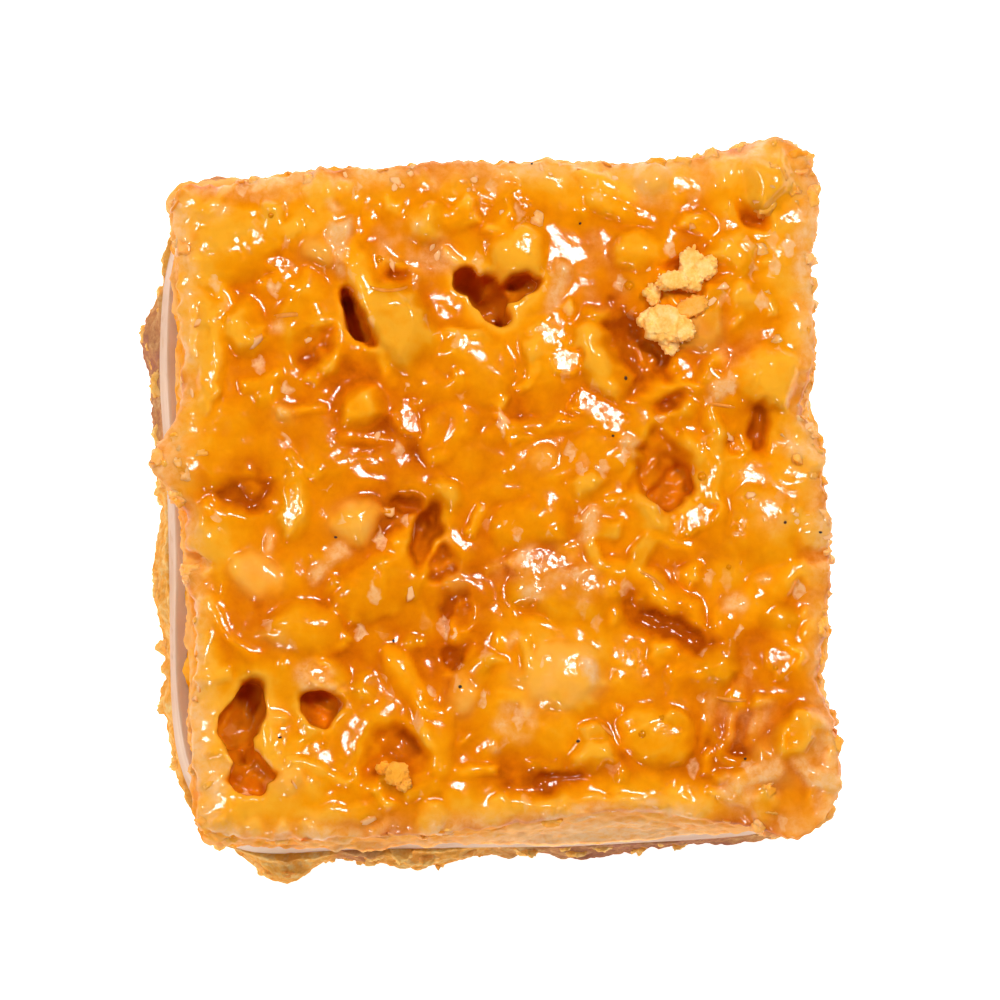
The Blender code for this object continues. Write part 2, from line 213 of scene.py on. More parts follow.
    # the cut sides are dry, so they have hardly any of the wet coat, and the pits have less of it
    wet = add("MapRange", {"Value": read["cut"], "To Min": 1.0, "To Max": 0.15})
    sunken = add("MapRange", {"Value": read["pit"], "To Min": 1.0, "To Max": 0.35})
    coated = add("Math", {0: wet, 1: sunken}, operation="MULTIPLY")
    return finishMaterial(made, {
        "Base Color": toned, "Normal": ripple, "Roughness": 0.45, "IOR": 1.46, "Specular IOR Level": 0.0,
        "Subsurface Weight": 0.7, "Subsurface Radius": (1.0, 0.55, 0.2), "Subsurface Scale": 0.0009,
        "Coat Weight": coated, "Coat Normal": glints, "Coat Roughness": 0.12, "Coat IOR": 1.34,
    })


fleckLook = {"pale": "#FFBE7E", "pink": "#FBA658", "soaked": "#F08C1C"}


def glazedCoconutFlesh():
    # Desiccated coconut: white flesh soaked to a pinkish cream, darker at its edges, under a thin wet skin.
    made, add, place = newMaterial("glazedCoconutFlesh")
    core = add("Attribute", attribute_name="core").outputs["Fac"]
    cloud = add("TexNoise", {"Vector": place, "Scale": perMetre(1.1), "Detail": 3.0})
    patchy = add("MapRange", {"Value": cloud, "To Min": -0.4, "To Max": 0.4})
    share = add("Math", {0: core, 1: patchy}, operation="ADD")
    stops = [(0.1, fleckLook["soaked"]), (0.5, fleckLook["pink"]), (0.9, fleckLook["pale"])]
    body = add("ValToRGB", {"Fac": share}, stops)
    fibre = add("TexNoise", {"Vector": place, "Scale": perMetre(0.3), "Detail": 2.0})
    bump = add("Bump", {"Height": fibre, "Strength": 0.5, "Distance": 0.00008})
    return finishMaterial(made, {
        "Base Color": body, "Normal": bump, "Roughness": 0.5, "Specular IOR Level": 0.1,
        "Subsurface Weight": 0.2, "Subsurface Radius": (1.0, 0.6, 0.35), "Subsurface Scale": 0.0008,
        "Coat Weight": 0.2, "Coat Normal": bump, "Coat Roughness": 0.05,
    })


crumbLook = {"light": "#FFD890", "middle": "#FCC465", "dark": "#F6AE48", "soaked": "#F09C1E"}


def biscuitCrumb():
    # Baked biscuit broken to crumbs: dry, pale and sandy, with no shine.
    made, add, place = newMaterial("biscuitCrumb")
    cloud = add("TexNoise", {"Vector": place, "Scale": perMetre(0.9), "Detail": 5.0, "Roughness": 0.7})
    stops = [(0.32, crumbLook["dark"]), (0.48, crumbLook["middle"]), (0.66, crumbLook["light"])]
    body = add("ValToRGB", {"Fac": cloud}, stops)
    soaked = add("Attribute", attribute_name="soaked").outputs["Fac"]
    wetted = add("Mix", {0: soaked, 6: body, 7: linearColour(crumbLook["soaked"])}, data_type="RGBA")
    sand = add("TexNoise", {"Vector": place, "Scale": perMetre(0.25), "Detail": 4.0})
    bump = add("Bump", {"Height": sand, "Strength": 0.4, "Distance": 0.00012})
    return finishMaterial(made, {
        "Base Color": wetted.outputs[2], "Normal": bump, "Roughness": 0.85, "Specular IOR Level": 0.2,
        "Subsurface Weight": 0.6, "Subsurface Radius": (1.0, 0.7, 0.4), "Subsurface Scale": 0.0011,
    })


creamLook = {"light": "#DDB696", "dark": "#D0A07E"}


def setCream():
    # Condensed milk and cream set firm and cut with a knife: even, dense, with a faint sheen.
    made, add, place = newMaterial("setCream")
    cloud = add("TexNoise", {"Vector": place, "Scale": perMetre(9.0), "Detail": 3.0})
    body = add("ValToRGB", {"Fac": cloud}, [(0.35, creamLook["dark"]), (0.65, creamLook["light"])])
    # the knife leaves faint lines along the cut
    drag = add("Mapping", {"Vector": place, "Scale": (60.0, 60.0, 1400.0)})
    lines = add("TexNoise", {"Vector": drag, "Scale": 1.0, "Detail": 3.0})
    pores = add("TexNoise", {"Vector": place, "Scale": perMetre(0.5), "Detail": 3.0})
    knife = add("Bump", {"Height": lines, "Strength": 0.35, "Distance": 0.00012})
    bump = add("Bump", {"Height": pores, "Strength": 0.3, "Distance": 0.00006, "Normal": knife})
    return finishMaterial(made, {
        "Base Color": body, "Normal": bump, "Roughness": 0.42, "Specular IOR Level": 0.1,
        "Subsurface Weight": 0.6, "Subsurface Radius": (1.0, 0.6, 0.4), "Subsurface Scale": 0.0012,
    })


shortbreadLook = {
    "light": "#FFD68C",
    "middle": "#FFB44C",
    "toasted": "#F49A38",
    "crack": "#E08E40",
    # browner mauve crumb: partly soaked filling, partly painted shade
    "soakedShade": "#B4745A",
}


def sandyShortbread():
    # Butter shortbread: sandy and short, toasted darker in patches and on some grains.
    made, add, place = newMaterial("sandyShortbread")
    cloud = add("TexNoise", {"Vector": place, "Scale": perMetre(3.5), "Detail": 6.0, "Roughness": 0.65})
    grains = add("TexNoise", {"Vector": place, "Scale": perMetre(0.9), "Detail": 3.0, "Roughness": 0.7})
    blend = add("Mix", {0: 0.5, 2: cloud, 3: grains})
    look = shortbreadLook
    stops = [(0.34, look["toasted"]), (0.48, look["middle"]), (0.62, look["light"])]
    body = add("ValToRGB", {"Fac": blend}, stops)
    crack, soakedShade = [add("Attribute", attribute_name=name).outputs["Fac"] for name in ("crack", "soakedShade")]
    # at the listed places the crumb is browner with a mauve cast: partly crumb soaked with filling, partly
    # painted shade where the crust meets the cream
    soft = add("MapRange", {"Value": blend, "From Min": 0.42, "From Max": 0.6, "To Min": 1.1, "To Max": 0.6})
    soakedShadeShare = add("Math", {0: soakedShade, 1: soft}, operation="MULTIPLY", use_clamp=True)
    colour = body.outputs[0]
    for name, share in (("crack", crack), ("soakedShade", soakedShadeShare)):
        colour = add("Mix", {0: share, 6: colour, 7: linearColour(look[name])}, data_type="RGBA").outputs[2]
    sand = add("TexNoise", {"Vector": place, "Scale": perMetre(0.35), "Detail": 4.0})
    grit = add("TexVoronoi", {"Vector": place, "Scale": perMetre(0.8)})
    coarse = add("Bump", {"Height": grit, "Strength": 0.5, "Distance": 0.0003}, invert=True)
    bump = add("Bump", {"Height": sand, "Strength": 0.6, "Distance": 0.0002, "Normal": coarse})
    return finishMaterial(made, {
        "Base Color": colour, "Normal": bump, "Roughness": 0.8, "Specular IOR Level": 0.05,
        "Subsurface Weight": 0.4, "Subsurface Radius": (1.0, 0.55, 0.3), "Subsurface Scale": 0.0007,
    })


# height maps: flat sheets of numbers that the meshes are shaped from

def newSheet(lowA, highA, lowB, highB, pitch):
    # a sheet samples a along its columns and b along its rows, in mm
    a = np.arange(lowA, highA + pitch, pitch)
    b = np.arange(lowB, highB + pitch, pitch)
    gridA, gridB = np.meshgrid(a, b)
    flat = np.zeros_like(gridA)
    maps = {name: flat.copy() for name in ("solid", "nut", "flesh", "tone", "grainy", "calm", "cut")}
    sheet = {"a": gridA, "b": gridB, "lowA": lowA, "lowB": lowB, "pitch": pitch, **maps}
    # pieces are laid through a gentle warp, so that none of them has a ruled outline
    for name, seed in (("warpA", 201), ("warpB", 302)):
        sheet[name] = 0.42 * swells(sheet, 3.2, seed) + 0.22 * swells(sheet, 1.3, seed + 1)
    return sheet


def sampleAt(sheet, name, a, b):
    values = sheet[name]
    column = np.clip((a - sheet["lowA"]) / sheet["pitch"], 0, values.shape[1] - 1.001)
    row = np.clip((b - sheet["lowB"]) / sheet["pitch"], 0, values.shape[0] - 1.001)
    c, r = column.astype(int), row.astype(int)
    fc, fr = column - c, row - r
    near = values[r, c] * (1 - fc) + values[r, c + 1] * fc
    far = values[r + 1, c] * (1 - fc) + values[r + 1, c + 1] * fc
    return near * (1 - fr) + far * fr


def softened(sheet, values, spread):
    # the same values blurred by this spread in mm
    sigma = spread / sheet["pitch"]
    pad = int(3 * sigma) + 2
    wide = np.pad(values, pad, mode="edge")
    rows = np.fft.fftfreq(wide.shape[0])[:, None]
    columns = np.fft.rfftfreq(wide.shape[1])[None, :]
    keep = np.exp(-2 * (math.pi * sigma) ** 2 * (rows ** 2 + columns ** 2))
    wide = np.fft.irfft2(np.fft.rfft2(wide) * keep, s=wide.shape)
    return wide[pad:-pad, pad:-pad]


def swells(sheet, size, seed):
    # smooth random swells about this size across, mostly between -1 and 1
    raw = np.random.default_rng(seed).standard_normal(sheet["a"].shape)
    soft = softened(sheet, raw, size / 3.2)
    return soft / (2.0 * soft.std())


def clouded(sheet, size, seed, middle, swing):
    # a share from 0 to 1 that comes and goes in patches about this size
    return np.clip(middle + swing * swells(sheet, size, seed), 0, 1)


def eased(share):
    # starts and ends gently between 0 and 1
    return share * share * (3 - 2 * share)


def softMax(first, second, blend):
    top = np.maximum(first, second)
    return top + blend * np.log(np.exp((first - top) / blend) + np.exp((second - top) / blend))


def footprint(sheet, x, y, length, width, turn, bend=0.0):
    # the part of the sheet under a piece, with places along and across it from -1 to 1
    reach = 0.6 * math.hypot(length, width) + 0.5
    pitch = sheet["pitch"]
    rowCount, columnCount = sheet["a"].shape
    left = max(int((x - reach - sheet["lowA"]) / pitch), 0)
    right = min(int((x + reach - sheet["lowA"]) / pitch) + 2, columnCount)
    low = max(int((y - reach - sheet["lowB"]) / pitch), 0)
    high = min(int((y + reach - sheet["lowB"]) / pitch) + 2, rowCount)
    window = (slice(low, high), slice(left, right))
    dx = sheet["a"][window] - x + sheet["warpA"][window]
    dy = sheet["b"][window] - y + sheet["warpB"][window]
    angle = math.radians(turn)
    along = (dx * math.cos(angle) + dy * math.sin(angle)) / (length / 2)
    across = (dy * math.cos(angle) - dx * math.sin(angle)) / (width / 2)
    return window, along, across + bend * (along ** 2 - 0.4)


def layPiece(sheet, window, height, kind, tone):
    solid = sheet["solid"][window]
    shows = height > solid
    sheet["solid"][window] = np.where(shows, height, solid)
    sheet["tone"][window] = np.where(shows, tone, sheet["tone"][window])
    for name in ("nut", "flesh"):
        share = 1.0 if name == kind else 0.0
        sheet[name][window] = np.where(shows, share, sheet[name][window])


def roundProfile(along, across):
    inside = 1 - along ** 2 - across ** 2
    return np.where(inside > 0, np.sqrt(np.maximum(inside, 0)), -9.0)


def slabProfile(along, across):
    # flat on top with a bevelled edge, as a strip or a chip has
    edge = 1 - np.maximum(np.abs(along) ** 5, np.abs(across) ** 2.2)
    return np.where(edge > 0, np.minimum(1.0, edge * 1.9), -9.0)


def brokenProfile(along, across, draw):
    # a chopped nut: several flat faces that meet in edges
    height = np.full_like(along, 1.0) + draw.uniform(-0.2, 0.2) * along + draw.uniform(-0.2, 0.2) * across
    start = draw.uniform(0, 1)
    for number in range(6):
        angle = (number + start + draw.uniform(-0.25, 0.25)) * math.tau / 6
        slope = draw.uniform(1.1, 2.6)
        face = (draw.uniform(0.8, 1.1) - along * math.cos(angle) - across * math.sin(angle)) * slope
        height = np.minimum(height, face)
    return np.where(height > 0, height, -9.0)


# the topping

# x, y, length, width, crown, turn, kind of piece
namedPieces = (
    (-13.9, -1.6, 5.2, 4.8, 1.5, 20, "dome"),
    (-23.0, -6.4, 5.8, 4.6, 1.0, -10, "dome"),
    (4.7, -16.9, 8.8, 6.6, 1.5, 5, "dome"),
    (-23.3, 16.0, 5.0, 4.2, 1.5, 70, "broken"),
    (-15.7, 13.2, 4.2, 4.0, 1.4, 30, "broken"),
    (-12.6, 8.7, 5.2, 4.4, 1.3, 45, "broken"),
    (-16.1, 23.4, 3.8, 3.4, 1.2, 0, "dome"),
    (2.2, 22.9, 5.2, 4.8, 1.6, 60, "smooth"),
    (13.2, 22.5, 4.6, 4.2, 1.5, 0, "smooth"),
    (9.6, 12.3, 7.8, 5.0, 1.9, 110, "smooth"),
    (25.1, 10.4, 6.6, 6.2, 1.9, 0, "smooth"),
    (23.2, 17.4, 5.6, 5.0, 1.4, 30, "broken"),
    (22.4, 22.0, 5.6, 4.2, 1.4, 15, "broken"),
    (14.9, 29.0, 4.0, 3.6, 1.3, 0, "dome"),
    (7.5, -24.2, 4.8, 4.4, 1.6, 20, "broken"),
    (26.4, -22.8, 7.6, 5.4, 1.7, 80, "broken"),
    (-4.4, -18.1, 4.6, 3.4, 1.3, 80, "dome"),
    (25.4, 27.6, 6.2, 5.0, 1.9, 50, "broken"),
    (-9.3, 16.2, 10.6, 8.0, 1.9, 115, "broken"),
    (5.4, -8.8, 11.0, 7.0, 1.1, -8, "smooth"),
    (-12.2, -8.4, 9.0, 6.0, 1.2, 30, "smooth"),
    (-24.0, 23.5, 8.0, 6.5, 1.0, 20, "smooth"),
    (-2.5, 12.0, 9.0, 7.0, 1.2, -30, "smooth"),
    (2.4, -2.4, 8.0, 5.2, 1.0, 15, "smooth"),
    (24.0, -3.4, 7.0, 8.0, 1.2, 10, "smooth"),
    (13.0, -22.6, 8.0, 5.6, 1.3, -20, "smooth"),
    (-5.0, 6.6, 7.4, 5.0, 1.0, 60, "smooth"),
    (-18.6, -11.6, 7.0, 5.2, 1.3, 0, "smooth"),
)

# x, y, length, width, how far it stands up, turn, bend
namedStrips = (
    (-11.6, 18.2, 14.0, 3.0, 2.6, 104, 0.1),
    (-26.2, 13.6, 11.6, 2.6, 1.7, 80, 0.2),
    (-26.0, 20.6, 4.4, 0.8, 1.1, -36, 0.0),
    (-25.4, 19.9, 4.4, 0.8, 1.0, -34, 0.1),
    (-24.9, 19.1, 4.0, 0.8, 1.0, -38, 0.0),
    (-18.9, 20.2, 6.8, 2.8, 1.1, -6, 0.15),
    (-18.0, 8.8, 4.2, 1.2, 1.1, 8, 0.0),
    (-13.1, 5.9, 5.8, 1.1, 1.2, -3, 0.3),
    (-5.4, 11.2, 5.2, 1.0, 1.3, 24, 0.2),
    (12.0, 28.2, 9.6, 2.0, 1.5, -22, -0.5),
    (12.8, 26.2, 8.6, 2.4, 1.5, -17, -0.3),
    (16.2, 9.4, 8.0, 1.2, 1.4, 2, 0.4),
    (19.8, 1.5, 14.4, 2.2, 1.5, 92, 0.1),
    (-19.1, 0.4, 8.4, 2.8, 1.4, 88, 0.1),
    (-26.6, -10.4, 6.4, 1.6, 1.3, -44, 0.1),
    (-25.2, -12.2, 6.2, 1.6, 1.3, -42, 0.1),
    (-9.6, -16.6, 7.2, 3.0, 1.8, -58, 0.1),
    (-7.4, -22.0, 8.2, 3.2, 1.8, -78, 0.15),
    (-3.9, -12.2, 6.6, 2.4, 1.5, 92, 0.1),
    (14.0, -9.6, 12.6, 3.0, 1.9, -36, 0.3),
    (22.8, -10.4, 11.0, 4.0, 1.9, 42, -0.3),
    (3.6, 6.2, 18.6, 1.8, 1.0, 7, 0.8),
    (5.2, 1.6, 15.6, 2.4, 1.1, 14, -0.4),
    (-22.3, -22.4, 8.8, 1.6, 1.3, 96, 0.5),
    (-17.3, -15.6, 5.4, 2.8, 1.2, -8, 0.3),
    (18.4, -19.4, 9.0, 1.4, 1.0, 74, 0.2),
    (20.6, -20.2, 9.0, 1.4, 1.1, 76, 0.2),
    (22.8, -20.8, 8.6, 1.4, 1.1, 80, 0.1),
    (16.8, -16.9, 5.2, 2.0, 1.2, 4, 0.2),
    (-16.0, -28.4, 11.0, 2.0, 0.9, 2, 0.2),
    (22.6, -28.9, 9.6, 1.3, 0.6, -14, 0.5),
    (21.4, -27.2, 5.4, 2.2, 0.8, -30, 0.2),
    (27.0, -27.6, 8.0, 1.1, 0.7, 96, 0.4),
    (28.6, -26.8, 9.0, 0.9, 0.7, 88, -0.4),
    (29.9, -25.4, 7.6, 0.8, 0.6, 92, 0.3),
    (8.0, -29.0, 13.0, 1.8, 0.9, -3, 0.1),
)

# a pit deeper than this, in mm, has steep walls that its rim overhangs
steepPit = 3.0

# each pit is made of ovals that run together: x, y, length, width, depth, turn
namedPits = (
    (-2.6, 19.9, 3.0, 3.6, 5.0, 0),
    (-1.0, 18.8, 4.2, 3.8, 5.8, 0),
    (1.6, 19.5, 4.4, 2.4, 3.8, 18),
    (-0.3, 17.3, 2.8, 3.0, 6.4, -20),
    (-13.2, 17.0, 5.2, 2.2, 4.6, 112),
    (24.0, 5.6, 4.2, 2.4, 1.7, 80),
    (15.3, 1.8, 8.4, 5.4, 2.6, 98),
    (15.6, 0.4, 5.0, 3.8, 3.6, 60),
    (-24.6, -19.4, 6.6, 3.8, 5.0, 65),
    (-24.9, -22.2, 3.0, 2.2, 4.2, 80),
    (-24.3, -24.6, 4.8, 4.0, 3.1, 40),
    (-17.6, -19.2, 3.5, 4.2, 3.1, 0),
    (-10.6, -22.6, 5.6, 3.2, 1.6, -40),
    (-13.0, -23.6, 4.0, 3.0, 0.9, 70),
    (-7.3, -3.2, 6.8, 2.8, 2.6, 76),
    (-8.9, -0.5, 3.8, 2.0, 1.3, -20),
    (-6.1, -6.0, 3.4, 2.4, 1.5, 60),
    (-4.9, -9.8, 4.4, 2.6, 0.7, 100),
    (12.4, 13.0, 7.4, 5.4, 1.3, 110),
    (14.4, 12.4, 5.0, 3.6, 1.9, 120),
    (3.1, -26.5, 6.8, 2.6, 1.0, 5),
    (15.0, -13.0, 10.6, 3.0, 0.8, -26),
    (24.2, 25.2, 3.6, 1.8, 1.6, 150),
    (-24.4, 1.0, 6.8, 3.6, 1.0, 8),
    (16.7, 21.0, 2.8, 1.6, 1.3, 0),
    (15.7, 8.2, 3.6, 1.8, 1.3, 0),
    (-17.0, 14.6, 4.6, 3.2, 1.0, 60),
    (-9.1, 21.2, 2.6, 1.6, 0.9, 0),
    (2.4, -10.6, 3.0, 2.4, 0.6, 0),
    (-4.8, -14.4, 3.6, 2.2, 1.0, 60),
    (19.6, -25.0, 4.4, 2.4, 0.5, 20),
)

# where the glaze lies deep (above 0) or thin (below 0): x, y, length, width, turn, how much
glazeDrifts = (
    (-22.5, 26.4, 15.0, 5.0, -2, -0.34),
    (-27.6, 17.0, 4.4, 20.0, 0, -0.32),
    (-9.5, 15.3, 7.0, 7.0, 30, -0.22),
    (8.1, 29.0, 17.0, 3.6, 0, -0.32),
    (24.7, 27.5, 9.0, 8.0, 0, -0.26),
    (25.7, 15.4, 5.5, 13.0, 0, -0.20),
    (26.6, 1.6, 5.5, 12.0, 0, -0.28),
    (5.7, 13.4, 7.0, 6.0, 0, -0.16),
    (10.7, -3.4, 9.5, 6.0, 20, -0.16),
    (4.2, -16.6, 13.0, 12.0, 0, -0.30),
    (7.5, -28.7, 21.0, 3.4, 0, -0.36),
    (-25.3, -28.0, 8.5, 4.0, 0, -0.24),
    (-24.9, -4.5, 8.0, 6.0, -10, -0.26),
    (-28.6, -16.8, 3.4, 23.0, 0, -0.30),
    (-19.2, 0.9, 3.2, 7.0, 0, -0.22),
    (21.6, -8.4, 10.0, 3.6, 38, -0.16),
    (-19.5, -25.5, 9.0, 6.0, 0, -0.14),
    (21.5, 1.4, 2.8, 14.0, 2, -0.16),
    (-7.3, -3.7, 13.0, 6.5, -58, 0.34),
    (-3.9, -12.2, 12.0, 4.4, 85, 0.24),
    (15.9, -12.2, 16.0, 4.0, -20, 0.30),
    (21.3, -18.6, 9.0, 8.0, 0, 0.16),
    (13.1, 13.6, 9.0, 7.0, 110, 0.28),
    (-14.4, 13.2, 7.0, 6.0, 60, 0.22),
    (-25.2, 2.0, 9.0, 4.6, 5, 0.34),
    (-25.0, -11.4, 7.0, 6.0, -42, 0.26),
    (-11.2, 5.7, 17.0, 7.0, -6, 0.16),
    (3.4, -25.8, 11.0, 4.0, 0, 0.28),
    (-10.9, -23.6, 9.0, 5.0, -48, 0.20),
    (23.1, 6.3, 5.0, 3.4, 60, 0.18),
    (-3.2, 28.0, 17.0, 4.6, 2, 0.12),
    (20.1, -24.5, 8.0, 5.0, 0, 0.18),
    (-16.0, -13.0, 10.0, 6.0, 30, 0.12),
    (17.4, 23.4, 7.0, 4.0, 30, 0.12),
)

# where coconut lies close under the glaze: x, y, length, width, turn, how much it shows
palePatches = (
    (-29.0, 28.4, 9.0, 5.0, 10, 0.75),
    (-19.0, 29.8, 11.0, 2.6, 4, 0.75),
    (-7.4, 23.4, 7.4, 4.4, -18, 0.9),
    (-29.4, 10.5, 2.0, 10.5, 0, 0.7),
    (-29.3, -14.0, 1.4, 12.0, 0, 0.5),
    (3.8, -7.6, 9.0, 5.0, -10, 0.8),
    (21.2, -20.6, 5.0, 6.2, 80, 0.65),
    (21.6, -27.4, 4.6, 3.2, 0, 0.6),
    (-17.6, -16.3, 4.3, 2.6, -25, 0.95),
    (-28.0, -25.0, 3.0, 8.0, 0, 0.6),
    (28.4, -27.0, 4.4, 9.0, -10, 0.95),
    (21.6, -28.6, 5.0, 3.0, -20, 0.8),
    (-29.4, 18.0, 2.2, 22.0, 0, 0.8),
    (-29.6, -20.0, 2.2, 20.0, 0, 0.8),
    (29.6, 18.0, 3.0, 22.0, 0, 0.95),
    (28.6, 4.5, 4.0, 7.0, 0, 0.9),
    (29.4, -12.0, 2.0, 20.0, 0, 0.6),
    (-29.0, 22.0, 2.6, 8.0, 0, 0.5),
    (-6.0, -3.4, 2.4, 3.6, 20, 0.4),
    (0.4, -20.6, 2.8, 3.4, 70, 0.7),
    (8.0, -30.0, 22.0, 1.6, 0, 0.6),
    (17.5, 28.4, 8.0, 3.6, 15, 0.55),
    (25.5, 31.0, 7.0, 3.0, 20, 0.6),
    (22.0, 13.5, 3.6, 5.6, 30, 0.35),
    (24.6, -1.5, 4.0, 5.0, 0, 0.3),
    (10.0, 20.5, 3.4, 7.0, 20, 0.35),
)

# where sugar has grained on the skin: x, y, length, width, turn, how much
grainyPatches = (
    (9.6, 7.7, 5.4, 3.4, -28, 1.0),
    (5.6, 14.6, 5.6, 7.0, 20, 0.9),
    (5.6, -7.6, 11.0, 5.4, -5, 0.8),
    (-26.8, 12.4, 2.6, 11.0, 8, 0.9),
    (-3.4, 28.2, 18.0, 5.6, 2, 1.0),
    (20.5, -4.4, 9.0, 6.0, 0, 0.7),
    (-12.0, 6.4, 8.0, 5.0, 20, 0.6),
    (24.0, 14.0, 6.0, 12.0, 0, 0.6),
    (14.0, -23.0, 10.0, 5.0, 0, 0.5),
    (-20.0, 24.0, 12.0, 7.0, 0, 0.5),
    (22.0, -22.0, 7.0, 8.0, 0, 0.7),
    (16.8, 27.6, 9.0, 5.0, 0, 0.7),
)

# flat places that throw a light back: x, y, length, width, turn, which light
glarePatches = (
    (9.6, 7.7, 5.0, 2.8, -28, "key"),
    (5.0, 15.4, 3.4, 2.6, 15, "key"),
    (6.4, 12.4, 2.8, 2.6, 0, "key"),
    (-13.2, 23.1, 1.8, 2.4, 20, "key"),
    (-8.2, 7.4, 3.0, 3.4, 0, "key"),
    (-19.5, 22.0, 3.4, 1.5, -30, "key"),
    (22.4, 24.6, 2.2, 1.3, 10, "key"),
    (22.2, 4.1, 2.4, 1.8, 0, "side"),
    (-19.4, -0.5, 1.5, 4.6, 0, "side"),
    (-17.7, -16.0, 3.8, 1.6, -25, "key"),
    (-4.1, -10.7, 1.6, 2.2, 0, "key"),
    (3.7, -6.1, 7.0, 1.9, -4, "key"),
    (24.8, -16.1, 2.6, 2.6, 0, "key"),
    (26.3, -22.6, 1.8, 3.6, -10, "side"),
    (-27.0, 13.2, 1.9, 8.6, 6, "side"),
    (-1.5, 28.4, 6.0, 1.6, 0, "key"),
    (18.0, -2.6, 3.6, 2.6, 30, "key"),
    (-24.6, -26.6, 2.6, 1.8, 0, "key"),
)
# how a place slopes along x and y where it mirrors each light to the camera
glareSlopes = {"key": (-0.123, -0.155), "side": (0.308, -0.070)}

# sizes in mm; the shares say how far a thing counts, from 0 to 1
topping = {
    "pitch": 0.15,
    "reach": 33.0,
    "cells": (258, 270),
    "sideRings": 24,
    "lean": {"left": -0.1, "right": 0.2, "front": 0.3, "back": 0.2},
    "corner": 28,
    "lumps": 80,
    "lumpLength": (2.4, 5.2),
    "shreds": 105,
    "shredLength": (2.0, 5.5),
    "shredWidth": (0.9, 2.0),
    "chips": 60,
    "chipLength": (1.0, 2.6),
    "stripRise": 0.55,
    "glazeSpread": 0.8,
    "stepHeight": 0.28,
    "ridgeHeight": 0.24,
    "shoulder": 0.9,
    "shoulderReach": 1.1,
    "nutShows": 0.36,
    "fleshShows": 0.8,
    "fringeReach": 1.3,
    "seed": 23,
}

# how deep the glaze looks: its mean, and what creases, pools, drifts, the rim and the pits add to it; the
# crease and hollow terms deepen the colour where the surface dips, partly for glaze that pools there and
# partly as painted shade
glazeDepths = {
    "mean": 0.44,
    "hollowShade": 0.20,
    "crease": 0.65,
    "pool": 0.22,
    "drift": 1.15,
    "rim": -0.45,
    "rimReach": 1.6,
    "pitShadeDepth": 0.68,
}

# side, place along it, how far it stands out, width
toppingEdges = (
    ("left", 4.5, 2.6, 3.0),
    ("left", 15.0, -0.4, 6.0),
    ("left", -14.0, -0.6, 11.0),
    ("right", 27.0, 1.6, 3.5),
    ("right", 7.5, -1.6, 2.4),
    ("right", -4.0, 0.9, 7.0),
    ("right", -18.0, -0.9, 2.5),
    ("right", -25.5, 0.8, 4.0),
    ("back", -25.0, -1.0, 5.0),
    ("back", -2.0, 0.6, 8.0),
    ("back", 26.5, 1.9, 4.5),
    ("front", -27.0, -0.7, 4.0),
    ("front", 9.0, -1.5, 9.5),
    ("front", 22.0, 0.5, 5.0),
    ("front", 25.5, 1.3, 3.0),
)


# where the foot of the topping sags out over the cream, and how pale and smooth the wall is there
toppingFeet = (
    ("front", 8.0, 1.5, 11.0),
    ("front", -12.0, 0.4, 8.0),
)
footLook = {"reach": 0.3, "paleReach": 0.5, "smooth": 0.44, "flesh": 1.3, "thin": 0.8}


def layToppingPieces(sheet):
    draw = random.Random(topping["seed"])
    sheet["solid"] += 0.9 * swells(sheet, 9.0, 3) + 0.45 * swells(sheet, 4.0, 5)
    ground = sheet["solid"].copy()
    halfX, halfY = square["halfX"], square["halfY"]
    for number in range(topping["lumps"]):
        x, y = draw.uniform(-halfX, halfX), draw.uniform(-halfY, halfY)
        length = draw.uniform(*topping["lumpLength"])
        width, turn = length * draw.uniform(0.6, 0.95), draw.uniform(0, 180)
        window, along, across = footprint(sheet, x, y, length, width, turn)
        level = ground[window].mean() + draw.uniform(-0.5, 0.25)
        height = level + draw.uniform(0.5, 1.1) * brokenProfile(along, across, draw)
        layPiece(sheet, window, height, "nut" if number % 5 == 0 else "glaze", draw.uniform(-1, 1))
    for x, y, length, width, crown, turn, kind in namedPieces:
        window, along, across = footprint(sheet, x, y, length, width, turn)
        level = ground[window].mean() - 0.15
        shape = brokenProfile(along, across, draw) if kind == "broken" else roundProfile(along, across)
        shown = "nut" if kind == "dome" else "glaze"
        layPiece(sheet, window, level + crown * shape, shown, draw.uniform(-0.6, 1))
    for number in range(topping["shreds"]):
        x, y = draw.uniform(-halfX, halfX), draw.uniform(-halfY, halfY)
        length, width = draw.uniform(*topping["shredLength"]), draw.uniform(*topping["shredWidth"])
        turn, bend = draw.uniform(0, 180), draw.uniform(-0.8, 0.8)
        window, along, across = footprint(sheet, x, y, length, width, turn, bend)
        level = sheet["solid"][window].mean() + draw.uniform(-0.45, 0.1)
        height = level + draw.uniform(-0.3, 0.3) * along + 0.4 * slabProfile(along, across)
        layPiece(sheet, window, height, "flesh" if number % 9 == 0 else "glaze", draw.uniform(-1, 1))
    unevenness = 1 - 0.3 * swells(sheet, 2.6, 77)
    for x, y, length, width, crown, turn, bend in namedStrips:
        window, along, across = footprint(sheet, x, y, length, width, turn, bend)
        rolled = roundProfile(np.abs(along) ** 1.6, across)
        height = ground[window].mean() - 0.2 + crown * topping["stripRise"] * unevenness[window] * rolled
        layPiece(sheet, window, height, "glaze", draw.uniform(-0.2, 1))
    for number in range(topping["chips"]):
        x, y = draw.uniform(-halfX, halfX), draw.uniform(-halfY, halfY)
        length = draw.uniform(*topping["chipLength"])
        width, turn = length * draw.uniform(0.4, 0.8), draw.uniform(0, 180)
        window, along, across = footprint(sheet, x, y, length, width, turn)
        level = sheet["solid"][window].mean() - 0.05
        tilt, rise = draw.uniform(-0.25, 0.25), draw.uniform(0.2, 0.42)
        height = level + tilt * along + rise * brokenProfile(along, across, draw)
        layPiece(sheet, window, height, "flesh" if number % 5 == 0 else "glaze", draw.uniform(-1, 1))


